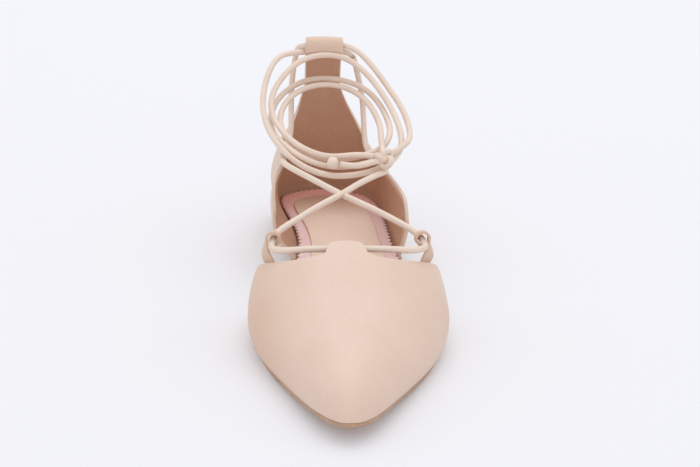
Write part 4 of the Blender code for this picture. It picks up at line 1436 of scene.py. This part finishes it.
class FLAT_OT_make_lace(bpy.types.Operator):
    """Lace from the throat through the loops and the strap, wound, tied and ended in a ball knot"""

    bl_idname = "flat.make_lace"
    bl_label = "Lace"

    def execute(self, context):
        sizes = context.scene.flat_sizes
        lace = material_named("lace_nude", lace_leather, context.scene.flat_colours)
        radius = sizes.lace / MM / 2
        throat, along, down = throat_frame()
        eye = throat + TAB_RUN * along + FOLD * down
        apart = np.array((1.0, 0.0, 0.0))
        points, faces, uv = ball_grid(END_KNOT, END_SIZE)
        ball = add_piece("lace_ball_knot", points, faces, [lace], uv=uv)
        dress(ball, "lace_cord", "end_knot")
        points, faces, uv = tube_grid(knot_path(TIED_KNOT, TIED_SIZE), radius * TIED_PRESS, closed=True)
        tied = add_piece("lace_tied_knot", points, faces, [lace], uv=uv)
        dress(tied, "lace_cord", "tied_knot")
        halves = (
            ("medial", -1, (LACE_MEDIAL, WIND_MEDIAL), tied, ("lace_wind_medial", "lace_cross")),
            ("lateral", 1, (LACE_LATERAL, WIND_LATERAL, TIED_KNOT[None], LACE_END), ball,
             ("lace_wind_lateral", "lace_end")),
        )
        for name, side, runs, knot, nodes in halves:
            rows = np.vstack((eye, eye + side * BAR_HALF * apart, *runs))
            path = route(rows, LACE_STEP)
            points, faces, uv = tube_grid(path, radius)
            cord = add_piece("lace_" + name, points, faces, [lace], uv=uv)
            dress(cord, "lace_cord", *nodes)
        return {"FINISHED"}


class FLAT_OT_make_seams(bpy.types.Operator):
    """Stitches of the throat, the rim and the strap"""

    bl_idname = "flat.make_seams"
    bl_label = "Seams"

    def execute(self, context):
        sizes = context.scene.flat_sizes
        thread = material_named("seam_thread", thread_cotton, context.scene.flat_colours)
        width = sizes.thread / MM
        points, faces = stitch_grid(seam_lines(width), sizes.stitch / MM, sizes.stitch_pitch / MM, width)
        dress(add_piece("upper_stitches", points, faces, [thread]), "upper_leather")
        return {"FINISHED"}


class FLAT_OT_make_stage(bpy.types.Operator):
    """Pale floor, soft light and the camera"""

    bl_idname = "flat.make_stage"
    bl_label = "Stage"

    def execute(self, context):
        stage = context.scene.flat_stage
        context.scene.view_settings.view_transform = "Standard"
        floor_mesh = bpy.data.meshes.new("floor")
        corners = [(x * FLOOR_REACH, y * FLOOR_REACH, 0) for x, y in ((-1, -1), (1, -1), (1, 1), (-1, 1))]
        floor_mesh.from_pydata(corners, [], [(0, 1, 2, 3)])
        floor_mesh.materials.append(material_named("floor_pale", floor_paint, context.scene.flat_colours))
        floor = bpy.data.objects.new("floor", floor_mesh)
        context.scene.collection.objects.link(floor)
        world = bpy.data.worlds.new("surround")
        world.use_nodes = True
        surround = world.node_tree.nodes["Background"]
        surround.inputs["Color"].default_value = opaque(SURROUND)
        surround.inputs["Strength"].default_value = stage.ambient
        context.scene.world = world
        self.add_light(context, "key", stage.key, KEY_SIZE, KEY_SPOT)
        self.add_light(context, "fill", stage.fill, FILL_SIZE, FILL_SPOT)
        camera_data = bpy.data.cameras.new("camera")
        camera_data.lens = stage.lens
        camera_data.clip_start = CAMERA_NEAR
        camera = bpy.data.objects.new("camera", camera_data)
        context.scene.collection.objects.link(camera)
        spot, aim = (Vector(place(point)) for point in (CAMERA_SPOT, CAMERA_AIM))
        level = Quaternion((1, 0, 0), math.pi / 2 - CAMERA_PITCH)
        ahead = level @ Vector((0, 0, -1))
        camera.location = spot
        camera.rotation_mode = "QUATERNION"
        camera.rotation_quaternion = ahead.rotation_difference(aim - spot) @ level
        context.scene.camera = camera
        return {"FINISHED"}

    def add_light(self, context, name, power, size, spot):
        """Square area light that looks at the middle of the shoe."""
        data = bpy.data.lights.new(name, "AREA")
        data.energy = power
        data.size = size
        light = bpy.data.objects.new(name, data)
        light.location = spot
        light.rotation_mode = "QUATERNION"
        light.rotation_quaternion = (LIGHT_AIM - spot).to_track_quat("-Z", "Y")
        context.scene.collection.objects.link(light)


OPERATORS = (
    FLAT_OT_make_sole, FLAT_OT_make_footbed, FLAT_OT_make_upper, FLAT_OT_make_lace, FLAT_OT_make_seams,
    FLAT_OT_make_stage,
)
GROUPS = (FlatSizes, FlatColours, FlatStage)


class FLAT_PT_sidebar(bpy.types.Panel):
    """Steps and settings of the shoe's looks"""

    bl_idname = "FLAT_PT_sidebar"
    bl_label = "Lace-up flat"
    bl_space_type = "VIEW_3D"
    bl_region_type = "UI"
    bl_category = "Flat"

    def draw(self, context):
        for operator in OPERATORS:
            self.layout.operator(operator.bl_idname)
        for settings in (context.scene.flat_sizes, context.scene.flat_colours, context.scene.flat_stage):
            box = self.layout.box()
            for key in settings.__annotations__:
                box.prop(settings, key)


def register():
    """Registers the classes and hangs the settings on the scene."""
    for made in (*GROUPS, *OPERATORS, FLAT_PT_sidebar):
        bpy.utils.register_class(made)
    bpy.types.Scene.flat_sizes = PointerProperty(type=FlatSizes)
    bpy.types.Scene.flat_colours = PointerProperty(type=FlatColours)
    bpy.types.Scene.flat_stage = PointerProperty(type=FlatStage)


def unregister():
    """Takes the settings and the classes away again."""
    del bpy.types.Scene.flat_stage
    del bpy.types.Scene.flat_colours
    del bpy.types.Scene.flat_sizes
    for made in reversed((*GROUPS, *OPERATORS, FLAT_PT_sidebar)):
        bpy.utils.unregister_class(made)


def main():
    """Makes the stage and the pieces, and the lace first."""
    register()
    bpy.ops.flat.make_stage()
    bpy.ops.flat.make_lace()
    bpy.ops.flat.make_sole()
    bpy.ops.flat.make_footbed()
    bpy.ops.flat.make_upper()
    bpy.ops.flat.make_seams()


if __name__ == "__main__":
    main()
